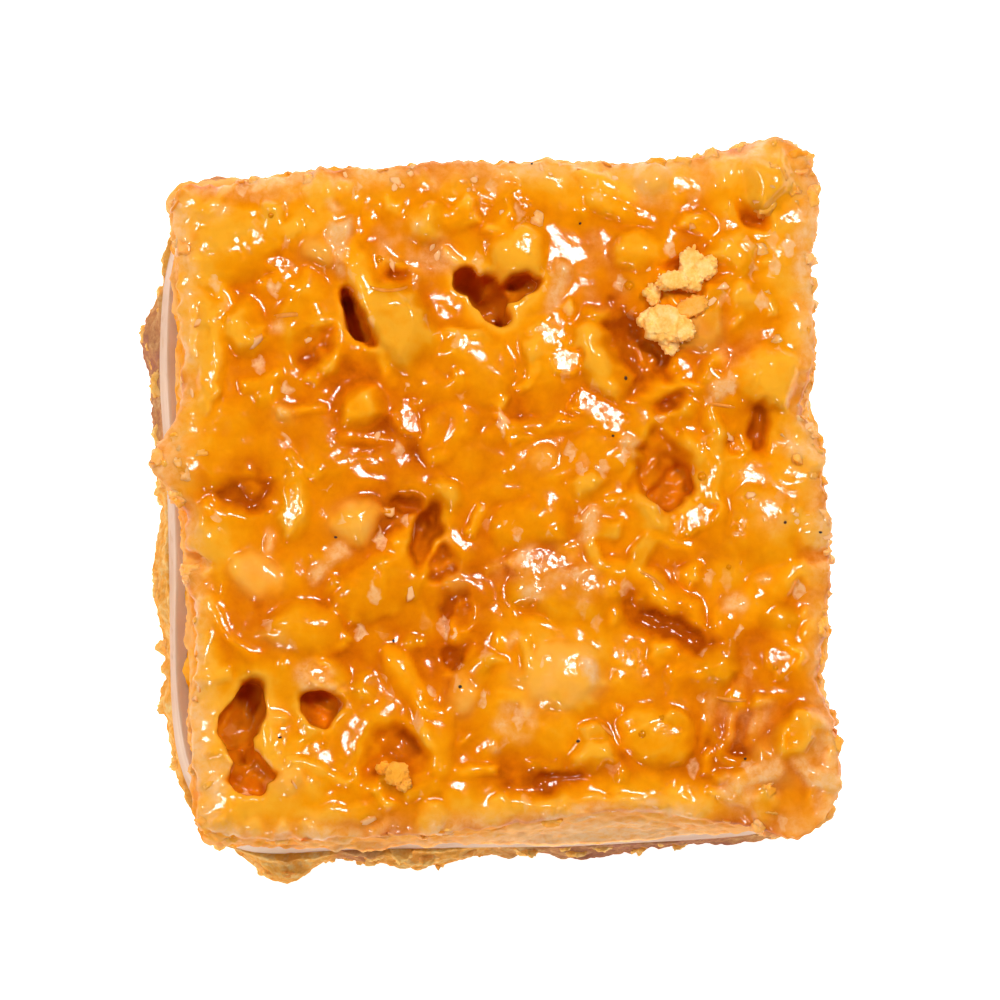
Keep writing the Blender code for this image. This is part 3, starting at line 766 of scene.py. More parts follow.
def foldSkin(sheet):
    # the caramel sets in skins that leave low steps and thin ridges over the pieces
    steps = np.tanh(swells(sheet, 8.0, 61) / 0.12) * clouded(sheet, 6.0, 62, 0.45, 1.0)
    moreSteps = np.tanh(swells(sheet, 4.5, 65) / 0.15) * clouded(sheet, 6.0, 66, 0.2, 1.0)
    ridges = np.exp(-(swells(sheet, 6.0, 63) / 0.07) ** 2) * clouded(sheet, 5.0, 64, 0.35, 1.0)
    sheet["solid"] += topping["stepHeight"] * (steps + 0.6 * moreSteps) + topping["ridgeHeight"] * ridges


def pourGlaze(sheet):
    # the glaze rounds the edges of the pieces and lies deepest in the creases between them
    solid = sheet["solid"]
    sheet["solid"] = solid - solid.mean() + 0.25
    solid = sheet["solid"]
    rounded = softened(sheet, solid, 0.16)
    pooled = softened(sheet, solid, topping["glazeSpread"]) - 0.14
    sheet["height"] = softMax(rounded, pooled, 0.10)
    torn = 0.8 * swells(sheet, 1.7, 95) + 0.4 * swells(sheet, 0.9, 96)
    for x, y, length, width, turn, light in glarePatches:
        window, along, across = footprint(sheet, x, y, 1.5 * length, 1.5 * width, turn)
        near = np.clip(2.0 - 2.0 * 1.5 ** 2 * 0.6 * (along ** 2 + across ** 2) + torn[window], 0, 1)
        near = near * np.clip(4 - 4 * (along ** 2 + across ** 2), 0, 1)
        near = eased(near)
        slopeX, slopeY = glareSlopes[light]
        height = sheet["height"][window]
        level = (height * near).sum() / near.sum()
        flat = level + slopeX * (sheet["a"][window] - x) + slopeY * (sheet["b"][window] - y)
        sheet["height"][window] = height + 0.95 * near * (flat - height)
        sheet["calm"][window] = np.maximum(sheet["calm"][window], near)
    sheet["skin"] = sheet["height"] - solid


def driftOf(sheet):
    # broad drifts of deep and thin glaze with uneven edges
    drift = np.zeros_like(sheet["a"])
    uneven = 0.8 + 0.5 * swells(sheet, 3.4, 93)
    for x, y, length, width, turn, amount in glazeDrifts:
        window, along, across = footprint(sheet, x, y, 1.8 * length, 1.8 * width, turn)
        near = np.clip(1 - along ** 2 - across ** 2, 0, 1) ** 2
        drift[window] += glazeDepths["drift"] * amount * near * uneven[window]
    return drift


def spreadPatches(sheet, name, table):
    torn = 0.45 + 0.9 * swells(sheet, 1.8, 91) + 0.6 * swells(sheet, 0.9, 92)
    for x, y, length, width, turn, share in table:
        window, along, across = footprint(sheet, x, y, 1.6 * length, 1.6 * width, turn)
        near = np.clip(1.6 - 1.6 * 1.6 * (along ** 2 + across ** 2), 0, 1)
        sheet[name][window] = np.maximum(sheet[name][window], np.clip(share * near * torn[window], 0, 1))


def digPits(sheet):
    wobble = 1 + 0.20 * swells(sheet, 2.2, 11) + 0.10 * swells(sheet, 1.0, 12)
    sheet["drop"] = np.zeros_like(sheet["a"])
    for x, y, length, width, depth, turn in namedPits:
        window, along, across = footprint(sheet, x, y, 1.5 * length, 1.5 * width, turn)
        distance = 1.5 * np.sqrt(along ** 2 + across ** 2) * wobble[window]
        wall = np.clip((1.10 - distance) / 0.46 if depth > steepPit else 1.3 - distance, 0, 1)
        drop = depth * eased(wall)
        sheet["drop"][window] = np.maximum(sheet["drop"][window], drop)
    drop = softened(sheet, sheet["drop"], 0.14)
    sheet["drop"] = drop
    # the floors of the pits are rough, with crests and shelves
    floor = np.clip(drop / 2.5, 0, 1)
    shelves = 0.6 - 0.9 * np.abs(swells(sheet, 2.4, 14)) - 0.4 * np.abs(swells(sheet, 1.1, 15))
    sheet["height"] = sheet["height"] - drop + floor * softened(sheet, shelves, 0.1)


def finishTop(sheet):
    a, b = sheet["a"], sheet["b"]
    fromEdge = np.minimum(square["halfX"] - np.abs(a), square["halfY"] - np.abs(b))
    rim = np.maximum(fromEdge, 0)
    height = sheet["height"] - topping["shoulder"] * np.exp(-rim / topping["shoulderReach"])
    height += (0.035 * swells(sheet, 1.5, 31) + 0.018 * swells(sheet, 0.8, 32)) * (1 - 0.8 * sheet["calm"])
    # painted shade: the colour deepens in hollows and creases and pales on crests, partly for glaze that
    # pools in them
    hollowShade = softened(sheet, height, 2.8) - height + softened(sheet, height, 1.3) - height
    crease = softened(sheet, height, 0.5) - height
    sheet["height"] = height
    depth = glazeDepths["mean"] + glazeDepths["hollowShade"] * hollowShade + glazeDepths["crease"] * crease
    depth += glazeDepths["pool"] * sheet["skin"] + 0.10 * swells(sheet, 8.0, 41) + driftOf(sheet)
    nearRim = np.exp(-rim / glazeDepths["rimReach"]) * clouded(sheet, 3.0, 42, 0.6, 1.0)
    depth += glazeDepths["rim"] * nearRim
    # painted shade: inside the pits the glaze colour is set deep
    pitShadeShare = np.clip((sheet["drop"] - 0.9) / 1.4, 0, 1)
    depth += pitShadeShare * (np.clip(glazeDepths["pitShadeDepth"] + 0.25 * swells(sheet, 1.8, 44), 0.3, 0.95) - depth)
    sheet["glazeDepth"] = np.clip(depth, 0, 1)
    sheet["pit"] = np.clip((sheet["drop"] - 0.4) / 4.4, 0, 1) * clouded(sheet, 2.0, 43, 0.8, 0.3)
    spreadPatches(sheet, "flesh", palePatches)
    spreadPatches(sheet, "grainy", grainyPatches)
    # coconut shows along the broken rim
    fringe = np.exp(-(rim / topping["fringeReach"]) ** 2) * clouded(sheet, 2.2, 94, 0.65, 0.6)
    sheet["flesh"] = np.maximum(sheet["flesh"], fringe)
    sheet["grainy"] += (0.55 - sheet["grainy"]) * sheet["calm"]
    for name, spread in (("nut", 0.4), ("flesh", 0.2), ("tone", 0.2)):
        sheet[name] = softened(sheet, sheet[name], spread)
    cloudy = np.clip(0.75 + 0.5 * swells(sheet, 1.6, 97), 0, 1.3)
    outOfPits = np.clip(1 - sheet["drop"] * 2, 0, 1)
    sheet["nut"] *= topping["nutShows"] * cloudy * outOfPits
    sheet["flesh"] *= topping["fleshShows"] * outOfPits


sideLook = {"pitch": 0.16, "reach": 33.0, "low": -1.0, "high": 13.0, "nuts": 13, "shreds": 110, "holes": 5}


def cutSideSheet(seed):
    # a cut side of the topping: nut pieces sliced flat, shreds end on, and small hollows
    reach = sideLook["reach"]
    sheet = newSheet(-reach, reach, sideLook["low"], sideLook["high"], sideLook["pitch"])
    draw = random.Random(seed)
    sheet["solid"] += 0.3 * swells(sheet, 4.5, seed) + 0.15 * swells(sheet, 1.8, seed + 1)
    broken = 0.24 * swells(sheet, 1.4, seed + 2) + 0.20 * swells(sheet, 0.7, seed + 3)
    for number in range(sideLook["shreds"]):
        x, y, length = draw.uniform(-31, 31), draw.uniform(0, 10), draw.uniform(1.2, 5.0)
        width, turn, bend = draw.uniform(0.5, 1.2), draw.uniform(-50, 50), draw.uniform(-0.6, 0.6)
        window, along, across = footprint(sheet, x, y, length, width, turn, bend)
        level = sheet["solid"][window].mean() + draw.uniform(-0.25, 0.0)
        height = level + 0.35 * slabProfile(along, across)
        layPiece(sheet, window, height, "flesh" if number % 2 else "glaze", draw.uniform(-1, 1))
    for number in range(sideLook["nuts"]):
        length, x, y = draw.uniform(3.0, 5.5), draw.uniform(-29, 29), draw.uniform(2, 7)
        width, turn = length * draw.uniform(0.6, 0.9), draw.uniform(-30, 30)
        window, along, across = footprint(sheet, x, y, length, width, turn)
        height = 0.15 + 0.25 * slabProfile(along, across * (1 + 0.1 * along))
        layPiece(sheet, window, height, "nut", draw.uniform(0, 1))
    sheet["drop"] = np.zeros_like(sheet["a"])
    for number in range(sideLook["holes"]):
        x, y, length = draw.uniform(-29, 29), draw.uniform(1.5, 8), draw.uniform(1.5, 4.0)
        width, turn = draw.uniform(1.0, 2.2), draw.uniform(-30, 30)
        window, along, across = footprint(sheet, x, y, length, width, turn)
        wall = np.clip((1.0 - np.sqrt(along ** 2 + across ** 2)) / 0.5, 0, 1)
        drop = draw.uniform(0.7, 1.6) * eased(wall)
        sheet["drop"][window] = np.maximum(sheet["drop"][window], drop)
    solid = sheet["solid"]
    sheet["height"] = softMax(softened(sheet, solid, 0.2), softened(sheet, solid, 0.8), 0.1) - solid.mean()
    sheet["height"] += broken - sheet["drop"]
    # painted shade: the cut side's colour deepens in its hollows
    hollowShade = softened(sheet, sheet["height"], 1.2) - sheet["height"]
    sheet["glazeDepth"] = np.clip(0.22 + 0.4 * hollowShade + 0.14 * swells(sheet, 5.0, seed + 4), 0, 1)
    # painted shade in the holes of the cut side
    sheet["pit"] = np.clip(sheet["drop"] / 2.0, 0, 1) * 0.6
    sheet["cut"] += 1.0
    for name in ("nut", "flesh", "tone"):
        sheet[name] = softened(sheet, sheet[name], 0.2)
    sheet["nut"] *= 0.85
    sheet["flesh"] *= 0.55
    return sheet


sideNames = ("left", "right", "front", "back")


def edgeOut(edges, side, along, share):
    total = np.zeros_like(along)
    for namedSide, place, out, width in edges:
        if namedSide == side:
            total += out * share * np.exp(-((along - place) / width) ** 2)
    return total


def growRim(bm, rim):
    # a new ring of faces from the open edges: its outer points and its outer edges
    grown = bmesh.ops.extrude_edge_only(bm, edges=rim)["geom"]
    ring = [item for item in grown if isinstance(item, bmesh.types.BMVert)]
    return ring, [item for item in grown if isinstance(item, bmesh.types.BMEdge) and item.is_boundary]


def edgesOut(edges, sides, x, y, share):
    # what the table adds to each point, by the side that the point lies on
    total = np.zeros_like(x)
    for name in sideNames:
        along = y if name in ("left", "right") else x
        total += np.where(sides == name, edgeOut(edges, name, along, share), 0)
    return total


def unitBlock(cellsX, cellsY, levels):
    # a grid on top, rings down the sides and one face below, on the unit square
    bm = bmesh.new()
    lift = Matrix.Translation((0, 0, 1))
    bmesh.ops.create_grid(bm, x_segments=cellsX, y_segments=cellsY, size=1.0, matrix=lift)
    rim = [edge for edge in bm.edges if edge.is_boundary]
    for level in levels:
        ring, rim = growRim(bm, rim)
        for vert in ring:
            vert.co.z = level
    bmesh.ops.contextual_create(bm, geom=rim)
    bmesh.ops.recalc_face_normals(bm, faces=bm.faces)
    return bm


def meshObject(name, bm, material, smooth=True):
    mesh = bpy.data.meshes.new(name)
    bm.to_mesh(mesh)
    bm.free()
    if smooth:
        mesh.polygons.foreach_set("use_smooth", [True] * len(mesh.polygons))
    mesh.materials.append(material)
    made = bpy.data.objects.new(name, mesh)
    bpy.context.scene.collection.objects.link(made)
    return made


def readPoints(mesh):
    flat = np.empty(len(mesh.vertices) * 3)
    mesh.vertices.foreach_get("co", flat)
    return flat.reshape(-1, 3)


def writePoints(mesh, x, y, z):
    # mm about the square's middle, to metres in the frame
    points = np.stack([(x + middleX) * mm, (y + middleY) * mm, z * mm], axis=1)
    mesh.vertices.foreach_set("co", points.ravel())
    mesh.update()


def writeAttribute(mesh, name, values):
    attribute = mesh.attributes.new(name, "FLOAT", "POINT")
    attribute.data.foreach_set("value", values.astype(np.float32))


def makeTopSheet():
    reach = topping["reach"]
    sheet = newSheet(-reach, reach, -reach, reach, topping["pitch"])
    layToppingPieces(sheet)
    foldSkin(sheet)
    pourGlaze(sheet)
    digPits(sheet)
    finishTop(sheet)
    return sheet


def leanIntoPits(x, y, drop):
    # the rims hang in over the pits, whose walls widen below
    moveX, moveY = np.zeros_like(x), np.zeros_like(y)
    for pitX, pitY, length, width, depth, _ in namedPits:
        if depth < steepPit:
            continue
        away = np.hypot(x - pitX, y - pitY)
        size = (length + width) / 4
        rim = np.exp(-((away / size - 1.0) / 0.3) ** 2)
        sunk = np.clip(drop / depth, 0, 1)
        push = rim * 0.22 * size * (1.6 * sunk - 0.55)
        moveX += push * (x - pitX) / np.maximum(away, 0.2)
        moveY += push * (y - pitY) / np.maximum(away, 0.2)
    return x + moveX, y + moveY


def glazedTopping(sheet, material):
    rings = topping["sideRings"]
    levels = [1 - (step + 1) / rings for step in range(rings)]
    bm = unitBlock(topping["cells"][0], topping["cells"][1], levels)
    made = meshObject("glazedTopping", bm, material)
    u, v, w = readPoints(made.data).T
    # the corners are rounded off
    most = np.maximum(np.maximum(np.abs(u), np.abs(v)), 1e-6)
    power = topping["corner"]
    corner = np.maximum(np.abs(u / most) ** power + np.abs(v / most) ** power, 1.0) ** (most ** 14 / power)
    x, y = u * square["halfX"] / corner, v * square["halfY"] / corner
    onTop = w > 0.999
    top = square["toppingTop"] + sampleAt(sheet, "height", x, y)
    low = square["creamTop"] - 0.1
    z = low + w * (top - low)
    values = {name: sampleAt(sheet, name, x, y) for name in glazeMaps}
    drop = np.where(onTop, sampleAt(sheet, "drop", x, y), 0)
    outX, outY = np.zeros_like(x), np.zeros_like(y)
    for number, side in enumerate(sideNames):
        cut = cutSideSheet(60 + 7 * number)
        along = y if side in ("left", "right") else x
        facing = {"left": u < 0, "right": u > 0, "front": v < 0, "back": v > 0}[side]
        near = np.abs(u) if side in ("left", "right") else np.abs(v)
        share = np.clip(0.3 + 0.7 * w * w, 0, 1)
        calmer = 1 - footLook["smooth"] * edgeOut(toppingFeet, side, along, 1.0)
        relief = sampleAt(cut, "height", along, z - low) * calmer
        out = edgeOut(toppingEdges, side, along, share) + relief
        foot = edgeOut(toppingFeet, side, along, np.exp(-w / footLook["reach"]) * (w < 0.999))
        out = np.where(facing, out + foot + topping["lean"][side] * (1 - w), 0) * near ** 14
        if side in ("left", "right"):
            outX += np.sign(u) * out
        else:
            outY += np.sign(v) * out
        onThis = facing & (near > 0.9999) & ~onTop
        for name in values:
            values[name] = np.where(onThis, sampleAt(cut, name, along, z - low), values[name])
        pale = edgeOut(toppingFeet, side, along, np.exp(-w / footLook["paleReach"]))
        pale = np.where(onThis, np.clip(pale, 0, 1), 0)
        values["flesh"] = np.clip(values["flesh"] + footLook["flesh"] * pale, 0, 1)
        values["glazeDepth"] = values["glazeDepth"] * (1 - footLook["thin"] * pale)
    x, y = leanIntoPits(x, y, drop)
    writePoints(made.data, x + outX, y + outY, z)
    for name, value in values.items():
        writeAttribute(made.data, name, value)
    return made


# coconut flecks, shreds and crumbs that lie on the topping

def heightAt(sheet, x, y, name="height"):
    return float(sampleAt(sheet, name, np.array([x]), np.array([y]))[0])


def inFrame(x, y, z):
    # mm about the square's middle, to metres in the frame
    return Vector(((x + middleX) * mm, (y + middleY) * mm, z * mm))


def standOn(place, normal, turn=0.0):
    # upright on a surface at this place, and turned about its normal
    lean = Vector((0, 0, 1)).rotation_difference(normal).to_matrix().to_4x4()
    return Matrix.Translation(place) @ lean @ Matrix.Rotation(turn, 4, "Z")


# where the rays that find a spot on a surface start, in mm, well clear of the square
rayStart = {"above": 60.0, "beside": 45.0}


def spotBelow(surface, x, y):
    # the point and normal straight below
    return surface.ray_cast(inFrame(x, y, rayStart["above"]), Vector((0, 0, -1)))[:2]


def sideSpot(surface, side, along, height):
    # the point and normal where a level line from outside meets this side
    way = {"left": (-1, 0), "right": (1, 0), "back": (0, 1), "front": (0, -1)}[side]
    x, y = (way[axis] * rayStart["beside"] + abs(way[1 - axis]) * along for axis in (0, 1))
    return surface.ray_cast(inFrame(x, y, height), Vector((-way[0], -way[1], 0)))[:2]


flecks = {
    "count": 42,
    "rimCount": 110,
    "length": (0.8, 2.0),
    "width": (0.5, 1.2),
    "thickness": 0.26,
    "proud": (-0.08, 0.05),
    "sides": 7,
    "clusters": (
        (-7.5, 23.2, 3.4, 2.2, 8),
        (19.5, 18.6, 5.0, 5.0, 5),
        (22.6, -2.6, 4.5, 6.0, 5),
    ),
    "seed": 5,
}


def fleckPlaces(surface):
    # points on the glazed surface with their normals: some in clusters, some anywhere, many at the broken rim
    draw = random.Random(flecks["seed"])
    spots = []
    for x, y, spreadX, spreadY, count in flecks["clusters"]:
        spots += [(draw.gauss(x, spreadX / 2), draw.gauss(y, spreadY / 2)) for _ in range(count)]
    while len(spots) < flecks["count"]:
        spots.append((draw.uniform(-28.5, 28.5), draw.uniform(-29.8, 29.8)))
    places = [spotBelow(surface, x, y) for x, y in spots]
    for _ in range(flecks["rimCount"]):
        side = draw.choice(("left", "right", "right", "back", "back", "front"))
        along, height = draw.uniform(-29.5, 29.5), square["toppingTop"] + draw.uniform(-2.2, -0.1)
        places.append(sideSpot(surface, side, along, height))
    return [place for place in places if place[0] is not None], draw


def coconutFlecks(surface, material):
    bm = bmesh.new()
    core = bm.verts.layers.float.new("core")
    places, draw = fleckPlaces(surface)
    for spot, normal in places:
        if spot.z < (square["toppingTop"] - 2.6) * mm:
            continue
        length, width = draw.uniform(*flecks["length"]), draw.uniform(*flecks["width"])
        ring = bmesh.ops.create_circle(bm, segments=flecks["sides"], radius=0.5)["verts"]
        for vert in ring:
            vert.co *= draw.uniform(0.55, 1.25)
        rim = list(dict.fromkeys(edge for vert in ring for edge in vert.link_edges))
        verts = list(ring)
        for scale, lift, share in ((0.94, 0.75, 0.3), (0.62, 1.0, 0.9)):
            ring, rim = growRim(bm, rim)
            for vert in ring:
                vert.co.x *= scale
                vert.co.y *= scale
                vert.co.z = lift
                vert[core] = share
            verts += ring
        bmesh.ops.contextual_create(bm, geom=rim)
        size = Matrix.Diagonal((length * mm, width * mm, flecks["thickness"] * mm, 1))
        sunk = spot + normal * (draw.uniform(*flecks["proud"]) - flecks["thickness"]) * mm
        place = standOn(sunk, normal, draw.uniform(0, math.tau))
        bmesh.ops.transform(bm, matrix=place @ size, verts=verts)
    bmesh.ops.recalc_face_normals(bm, faces=bm.faces)
    return meshObject("coconutFlecks", bm, material)


shredLook = {"count": 7, "length": (2.0, 4.2), "width": (0.26, 0.42), "thickness": 0.30, "seed": 17}


def coconutShreds(sheet, material):
    bm = bmesh.new()
    core = bm.verts.layers.float.new("core")
    draw = random.Random(shredLook["seed"])
    made = 0
    while made < shredLook["count"]:
        x, y = draw.uniform(-27, 27), draw.uniform(-28, 28)
        length, width = draw.uniform(*shredLook["length"]), draw.uniform(*shredLook["width"])
        turn, bend = draw.uniform(0, math.pi), draw.uniform(-0.14, 0.14)
        if heightAt(sheet, x, y, "drop") > 0.3:
            continue
        made += 1
        size = Matrix.Diagonal((length, width, shredLook["thickness"], 1))
        earlier = len(bm.verts)
        corners = bmesh.ops.create_cube(bm, size=1.0, matrix=size)["verts"]
        edges = dict.fromkeys(edge for vert in corners for edge in vert.link_edges)
        lengthways = [edge for edge in edges if edge.calc_length() > 0.95 * length]
        bmesh.ops.subdivide_edges(bm, edges=lengthways, cuts=11)
        bm.verts.ensure_lookup_table()
        lie = draw.uniform(-0.14, -0.08)
        for vert in bm.verts[earlier:]:
            part = vert.co.x / length
            narrow = 1 - 0.6 * (2 * abs(part)) ** 3
            localX, localY = vert.co.x, vert.co.y * narrow + bend * vert.co.x ** 2
            px = x + localX * math.cos(turn) - localY * math.sin(turn)
            py = y + localX * math.sin(turn) + localY * math.cos(turn)
            pz = square["toppingTop"] + heightAt(sheet, px, py) + lie + vert.co.z * narrow
            vert[core] = 0.2
            vert.co = inFrame(px, py, pz)
    bmesh.ops.recalc_face_normals(bm, faces=bm.faces)
    return meshObject("coconutShreds", bm, material)


# x, y, length, width, height, turn, how far it is soaked
crumbPieces = (
    (16.4, 19.3, 2.7, 1.7, 1.6, 5, 0.0),
    (18.3, 21.3, 2.0, 2.5, 1.8, 10, 0.0),
    (19.5, 20.4, 2.3, 1.9, 1.7, 40, 0.1),
    (17.9, 19.5, 2.4, 1.9, 1.8, -40, 0.0),
    (14.6, 18.3, 1.2, 1.7, 1.0, 30, 0.2),
    (15.8, 15.3, 3.7, 3.3, 2.4, -20, 0.0),
    (14.1, 16.1, 1.9, 1.5, 1.5, 15, 0.1),
    (17.3, 14.8, 1.8, 1.9, 1.8, 0, 0.0),
    (16.1, 13.6, 1.6, 1.5, 1.4, 0, 0.1),
    (18.2, 16.9, 3.0, 1.8, 1.5, 25, 0.65),
    (-10.9, -25.2, 2.0, 1.8, 1.4, 30, 0.85),
    (-12.0, -24.6, 1.0, 1.0, 0.9, 60, 0.9),
    (-10.3, -26.1, 1.1, 1.0, 0.9, 0, 0.8),
)

crumbGrain = {"count": 16, "size": (0.30, 0.80), "seed": 9, "settle": 0.28}


def crumbLump(bm, subdivisions, rough, offset, matrix, wet):
    soaked = bm.verts.layers.float["soaked"]
    verts = bmesh.ops.create_icosphere(bm, subdivisions=subdivisions, radius=0.5)["verts"]
    for vert in verts:
        way = vert.co.normalized()
        lumps = 0.40 * noise.noise(way * 1.5 + offset) + 0.20 * noise.noise(way * 3.4 + offset)
        near = noise.voronoi(way * 3.2 + offset)[0]
        flakes = 0.22 * min(near[1] - near[0], 0.5)
        grit = 0.5 - noise.voronoi(way * 8.5 + offset)[0][0] + noise.noise(way * 18.0 + offset)
        vert.co = way * (0.5 + 0.5 * rough * (lumps + flakes + 0.05 * grit))
        vert.co.z = 0.42 * math.tanh(vert.co.z / 0.30) + 0.03 * noise.noise(way * 9.0 + offset)
        vert.co = matrix @ vert.co
        vert[soaked] = wet
    return verts


def biscuitCrumbs(sheet, material):
    bm = bmesh.new()
    bm.verts.layers.float.new("soaked")
    draw = random.Random(crumbGrain["seed"])
    for number, (x, y, length, width, height, turn, wet) in enumerate(crumbPieces):
        z = max(square["toppingTop"] + heightAt(sheet, x, y), square["toppingTop"] - 0.4)
        offset = Vector((number * 3.7, number * 1.9, 4.2))
        size = Matrix.Diagonal((length * mm, width * mm, height * mm, 1))
        place = inFrame(x, y, z + crumbGrain["settle"] * height)
        place = Matrix.Translation(place) @ Matrix.Rotation(math.radians(turn), 4, "Z")
        crumbLump(bm, 5, 1.0, offset, place @ size, wet)
        for grain in range(crumbGrain["count"]):
            # loose grains break the outline of each crumb
            angle, out, lift = draw.uniform(0, math.tau), draw.uniform(0.36, 0.50), draw.uniform(-0.30, 0.25)
            spot = Vector((out * math.cos(angle), out * math.sin(angle), lift))
            diameter = draw.uniform(*crumbGrain["size"]) * mm
            shape = Matrix.Diagonal((diameter, diameter * draw.uniform(0.6, 1.0), diameter, 1))
            turned = Matrix.Translation((place @ size) @ spot) @ Matrix.Rotation(angle, 4, "Z") @ shape
            crumbLump(bm, 2, 1.3, offset + Vector((grain * 0.9, 0.3, grain * 1.7)), turned, wet)
    return meshObject("biscuitCrumbs", bm, material)


crust = {
    # how many, faces, sizes, sides
    "kinds": (
        (26, 4, (1.4, 2.8), ("left", "front")),
        (60, 3, (0.7, 1.7), ("left", "front", "left", "front", "right", "back")),
        (130, 2, (0.4, 1.0), ("left", "front", "right", "back")),
    ),
    "sink": 0.28,
    "seed": 41,
}


def crustCrumbs(surface, material):
    # grains that cling to the broken edge of the shortbread, larger ones on the crags that show from above
    bm = bmesh.new()
    bm.verts.layers.float.new("soaked")
    draw = random.Random(crust["seed"])
    number = 0
    for count, subdivisions, sizes, sides in crust["kinds"]:
        for _ in range(count):
            number += 1
            side, along, height = draw.choice(sides), draw.uniform(-30, 30), draw.uniform(0.8, 7.4)
            found, normal = sideSpot(surface, side, along, height)
            if found is None:
                continue
            size = draw.uniform(*sizes) * mm
            shape = Matrix.Diagonal((size, size * draw.uniform(0.6, 1.0), size * draw.uniform(0.5, 0.9), 1))
            turned = Matrix.Rotation(draw.uniform(0, math.tau), 4, "Z") @ shape
            place = Matrix.Translation(found - normal * crust["sink"] * size)
            place.translation.z = max(place.translation.z, 0.55 * size)
            crumbLump(bm, subdivisions, 1.1, Vector((number * 1.3, number * 0.7, 2.1)), place @ turned, 0.0)
    return meshObject("crustCrumbs", bm, material)


specks = {
    "places": ((4.0, 31.0), (-15.6, -3.2), (-10.6, -12.9), (-4.7, -17.4), (26.0, -3.3), (29.3, -4.3),
               (6.0, -22.8), (21.4, -25.0), (8.2, 25.2), (11.8, 10.6), (10.4, 5.3), (-21.4, -21.4)),
    "size": (0.22, 0.40),
    "dark": "#1C0D05",
    "brown": "#4A260C",
    "bubbles": 8,
    "bubbleSize": (0.5, 0.9),
    "seed": 31,
}


def burntSugar():
    # specks of sugar that burnt in the pan: nearly black, with a dull shine
    made, add, place = newMaterial("burntSugar")
    cloud = add("TexNoise", {"Vector": place, "Scale": perMetre(0.2), "Detail": 2.0})
    body = add("ValToRGB", {"Fac": cloud}, [(0.35, specks["dark"]), (0.65, specks["brown"])])
    return finishMaterial(made, {"Base Color": body, "Roughness": 0.5})


def burntSpecks(surface, material):
    bm = bmesh.new()
    draw = random.Random(specks["seed"])
    for x, y in specks["places"]:
        spot = spotBelow(surface, x, y)[0]
        if spot is None:
            continue
        verts = bmesh.ops.create_icosphere(bm, subdivisions=2, radius=0.5)["verts"]
        size = Matrix.Diagonal([draw.uniform(*specks["size"]) * mm for _ in range(3)] + [1])
        bmesh.ops.transform(bm, matrix=Matrix.Translation(spot) @ size, verts=verts)
    return meshObject("burntSpecks", bm, material)


# side, from, to, how many
rimLumps = {
    "runs": (("right", -14, 31, 64), ("right", -31, -14, 10), ("back", 14, 30, 24), ("back", -30, 14, 10),
             ("left", 1, 8, 16), ("left", 8, 30, 5), ("left", -31, 1, 9), ("front", -30, -20, 10),
             ("front", -20, 30, 10)),
    # x, y, spread, how many lie on top
    "onTop": ((27.8, 26.6, 1.5, 9), (25.6, 21.6, 1.2, 4), (27.6, 3.6, 1.4, 6), (-29.0, 4.6, 1.0, 6),
              (28.4, 14.0, 1.2, 4), (23.0, -28.6, 1.4, 4)),
    "size": (0.7, 2.2),
    "drop": (0.3, 2.6),
    "sink": 0.3,
    "flesh": (0.1, 0.75),
    "seed": 51,
}


def brokenRim(surface, material):
    # crumbs of glazed coconut that stand out from the cut rim, thin enough to look pale
    bm = bmesh.new()
    layers = {name: bm.verts.layers.float.new(name) for name in glazeMaps}
    bm.verts.layers.float.new("soaked")
    draw = random.Random(rimLumps["seed"])
    spots = []
    for side, low, high, count in rimLumps["runs"]:
        for _ in range(count):
            along, drop = draw.uniform(low, high), draw.uniform(*rimLumps["drop"])
            spots.append(sideSpot(surface, side, along, square["toppingTop"] - drop))
    for x, y, spread, count in rimLumps["onTop"]:
        for _ in range(count):
            spots.append(spotBelow(surface, draw.gauss(x, spread), draw.gauss(y, spread)))
    for number, (spot, normal) in enumerate(spots):
        if spot is None or spot.z < (square["toppingTop"] - 3) * mm:
            continue
        size = draw.uniform(*rimLumps["size"]) * mm
        shape = Matrix.Diagonal((size, size * draw.uniform(0.5, 1.0), size * draw.uniform(0.5, 0.9), 1))
        turned = Matrix.Rotation(draw.uniform(0, math.tau), 4, draw.choice("XYZ")) @ shape
        place = Matrix.Translation(spot - normal * rimLumps["sink"] * size)
        flesh, depth = draw.uniform(*rimLumps["flesh"]), draw.uniform(0.0, 0.24)
        for vert in crumbLump(bm, 3, 1.1, Vector((number * 1.7, number * 0.9, 5.0)), place @ turned, 0.0):
            vert[layers["flesh"]] = flesh
            vert[layers["glazeDepth"]] = depth
            vert[layers["cut"]] = 0.5
    return meshObject("brokenRim", bm, material)


def glazeBubbles(surface, material):
    # small bubbles that set in the glaze and stand up as low clear domes
    bm = bmesh.new()
    draw = random.Random(specks["seed"] + 1)
    layers = {name: bm.verts.layers.float.new(name) for name in glazeMaps}
    while len(bm.verts) < specks["bubbles"] * 162:
        spot, normal = spotBelow(surface, draw.uniform(-27, 27), draw.uniform(-28, 28))
        if normal.z < 0.85 or spot.z < (square["toppingTop"] - 1.5) * mm:
            continue
        size = draw.uniform(*specks["bubbleSize"]) * mm
        verts = bmesh.ops.create_icosphere(bm, subdivisions=3, radius=0.5)["verts"]
        for vert in verts:
            vert[layers["glazeDepth"]] = 0.42
        place = standOn(spot - normal * 0.08 * size, normal) @ Matrix.Diagonal((size, size, 0.6 * size, 1))
        bmesh.ops.transform(bm, matrix=place, verts=verts)
    return meshObject("glazeBubbles", bm, material)


# the cream and the shortbread

def ringBlock(steps, ringCount):
    # rings of points one above the other, capped at both ends, to be wrapped round the square
    bm = bmesh.new()
    bmesh.ops.create_circle(bm, segments=steps, radius=1.0)
    rim = list(bm.edges)
    bmesh.ops.contextual_create(bm, geom=rim)
    for number in range(1, ringCount):
        ring, rim = growRim(bm, rim)
        for vert in ring:
            vert.co.z = number
    bmesh.ops.contextual_create(bm, geom=rim)
    return bm


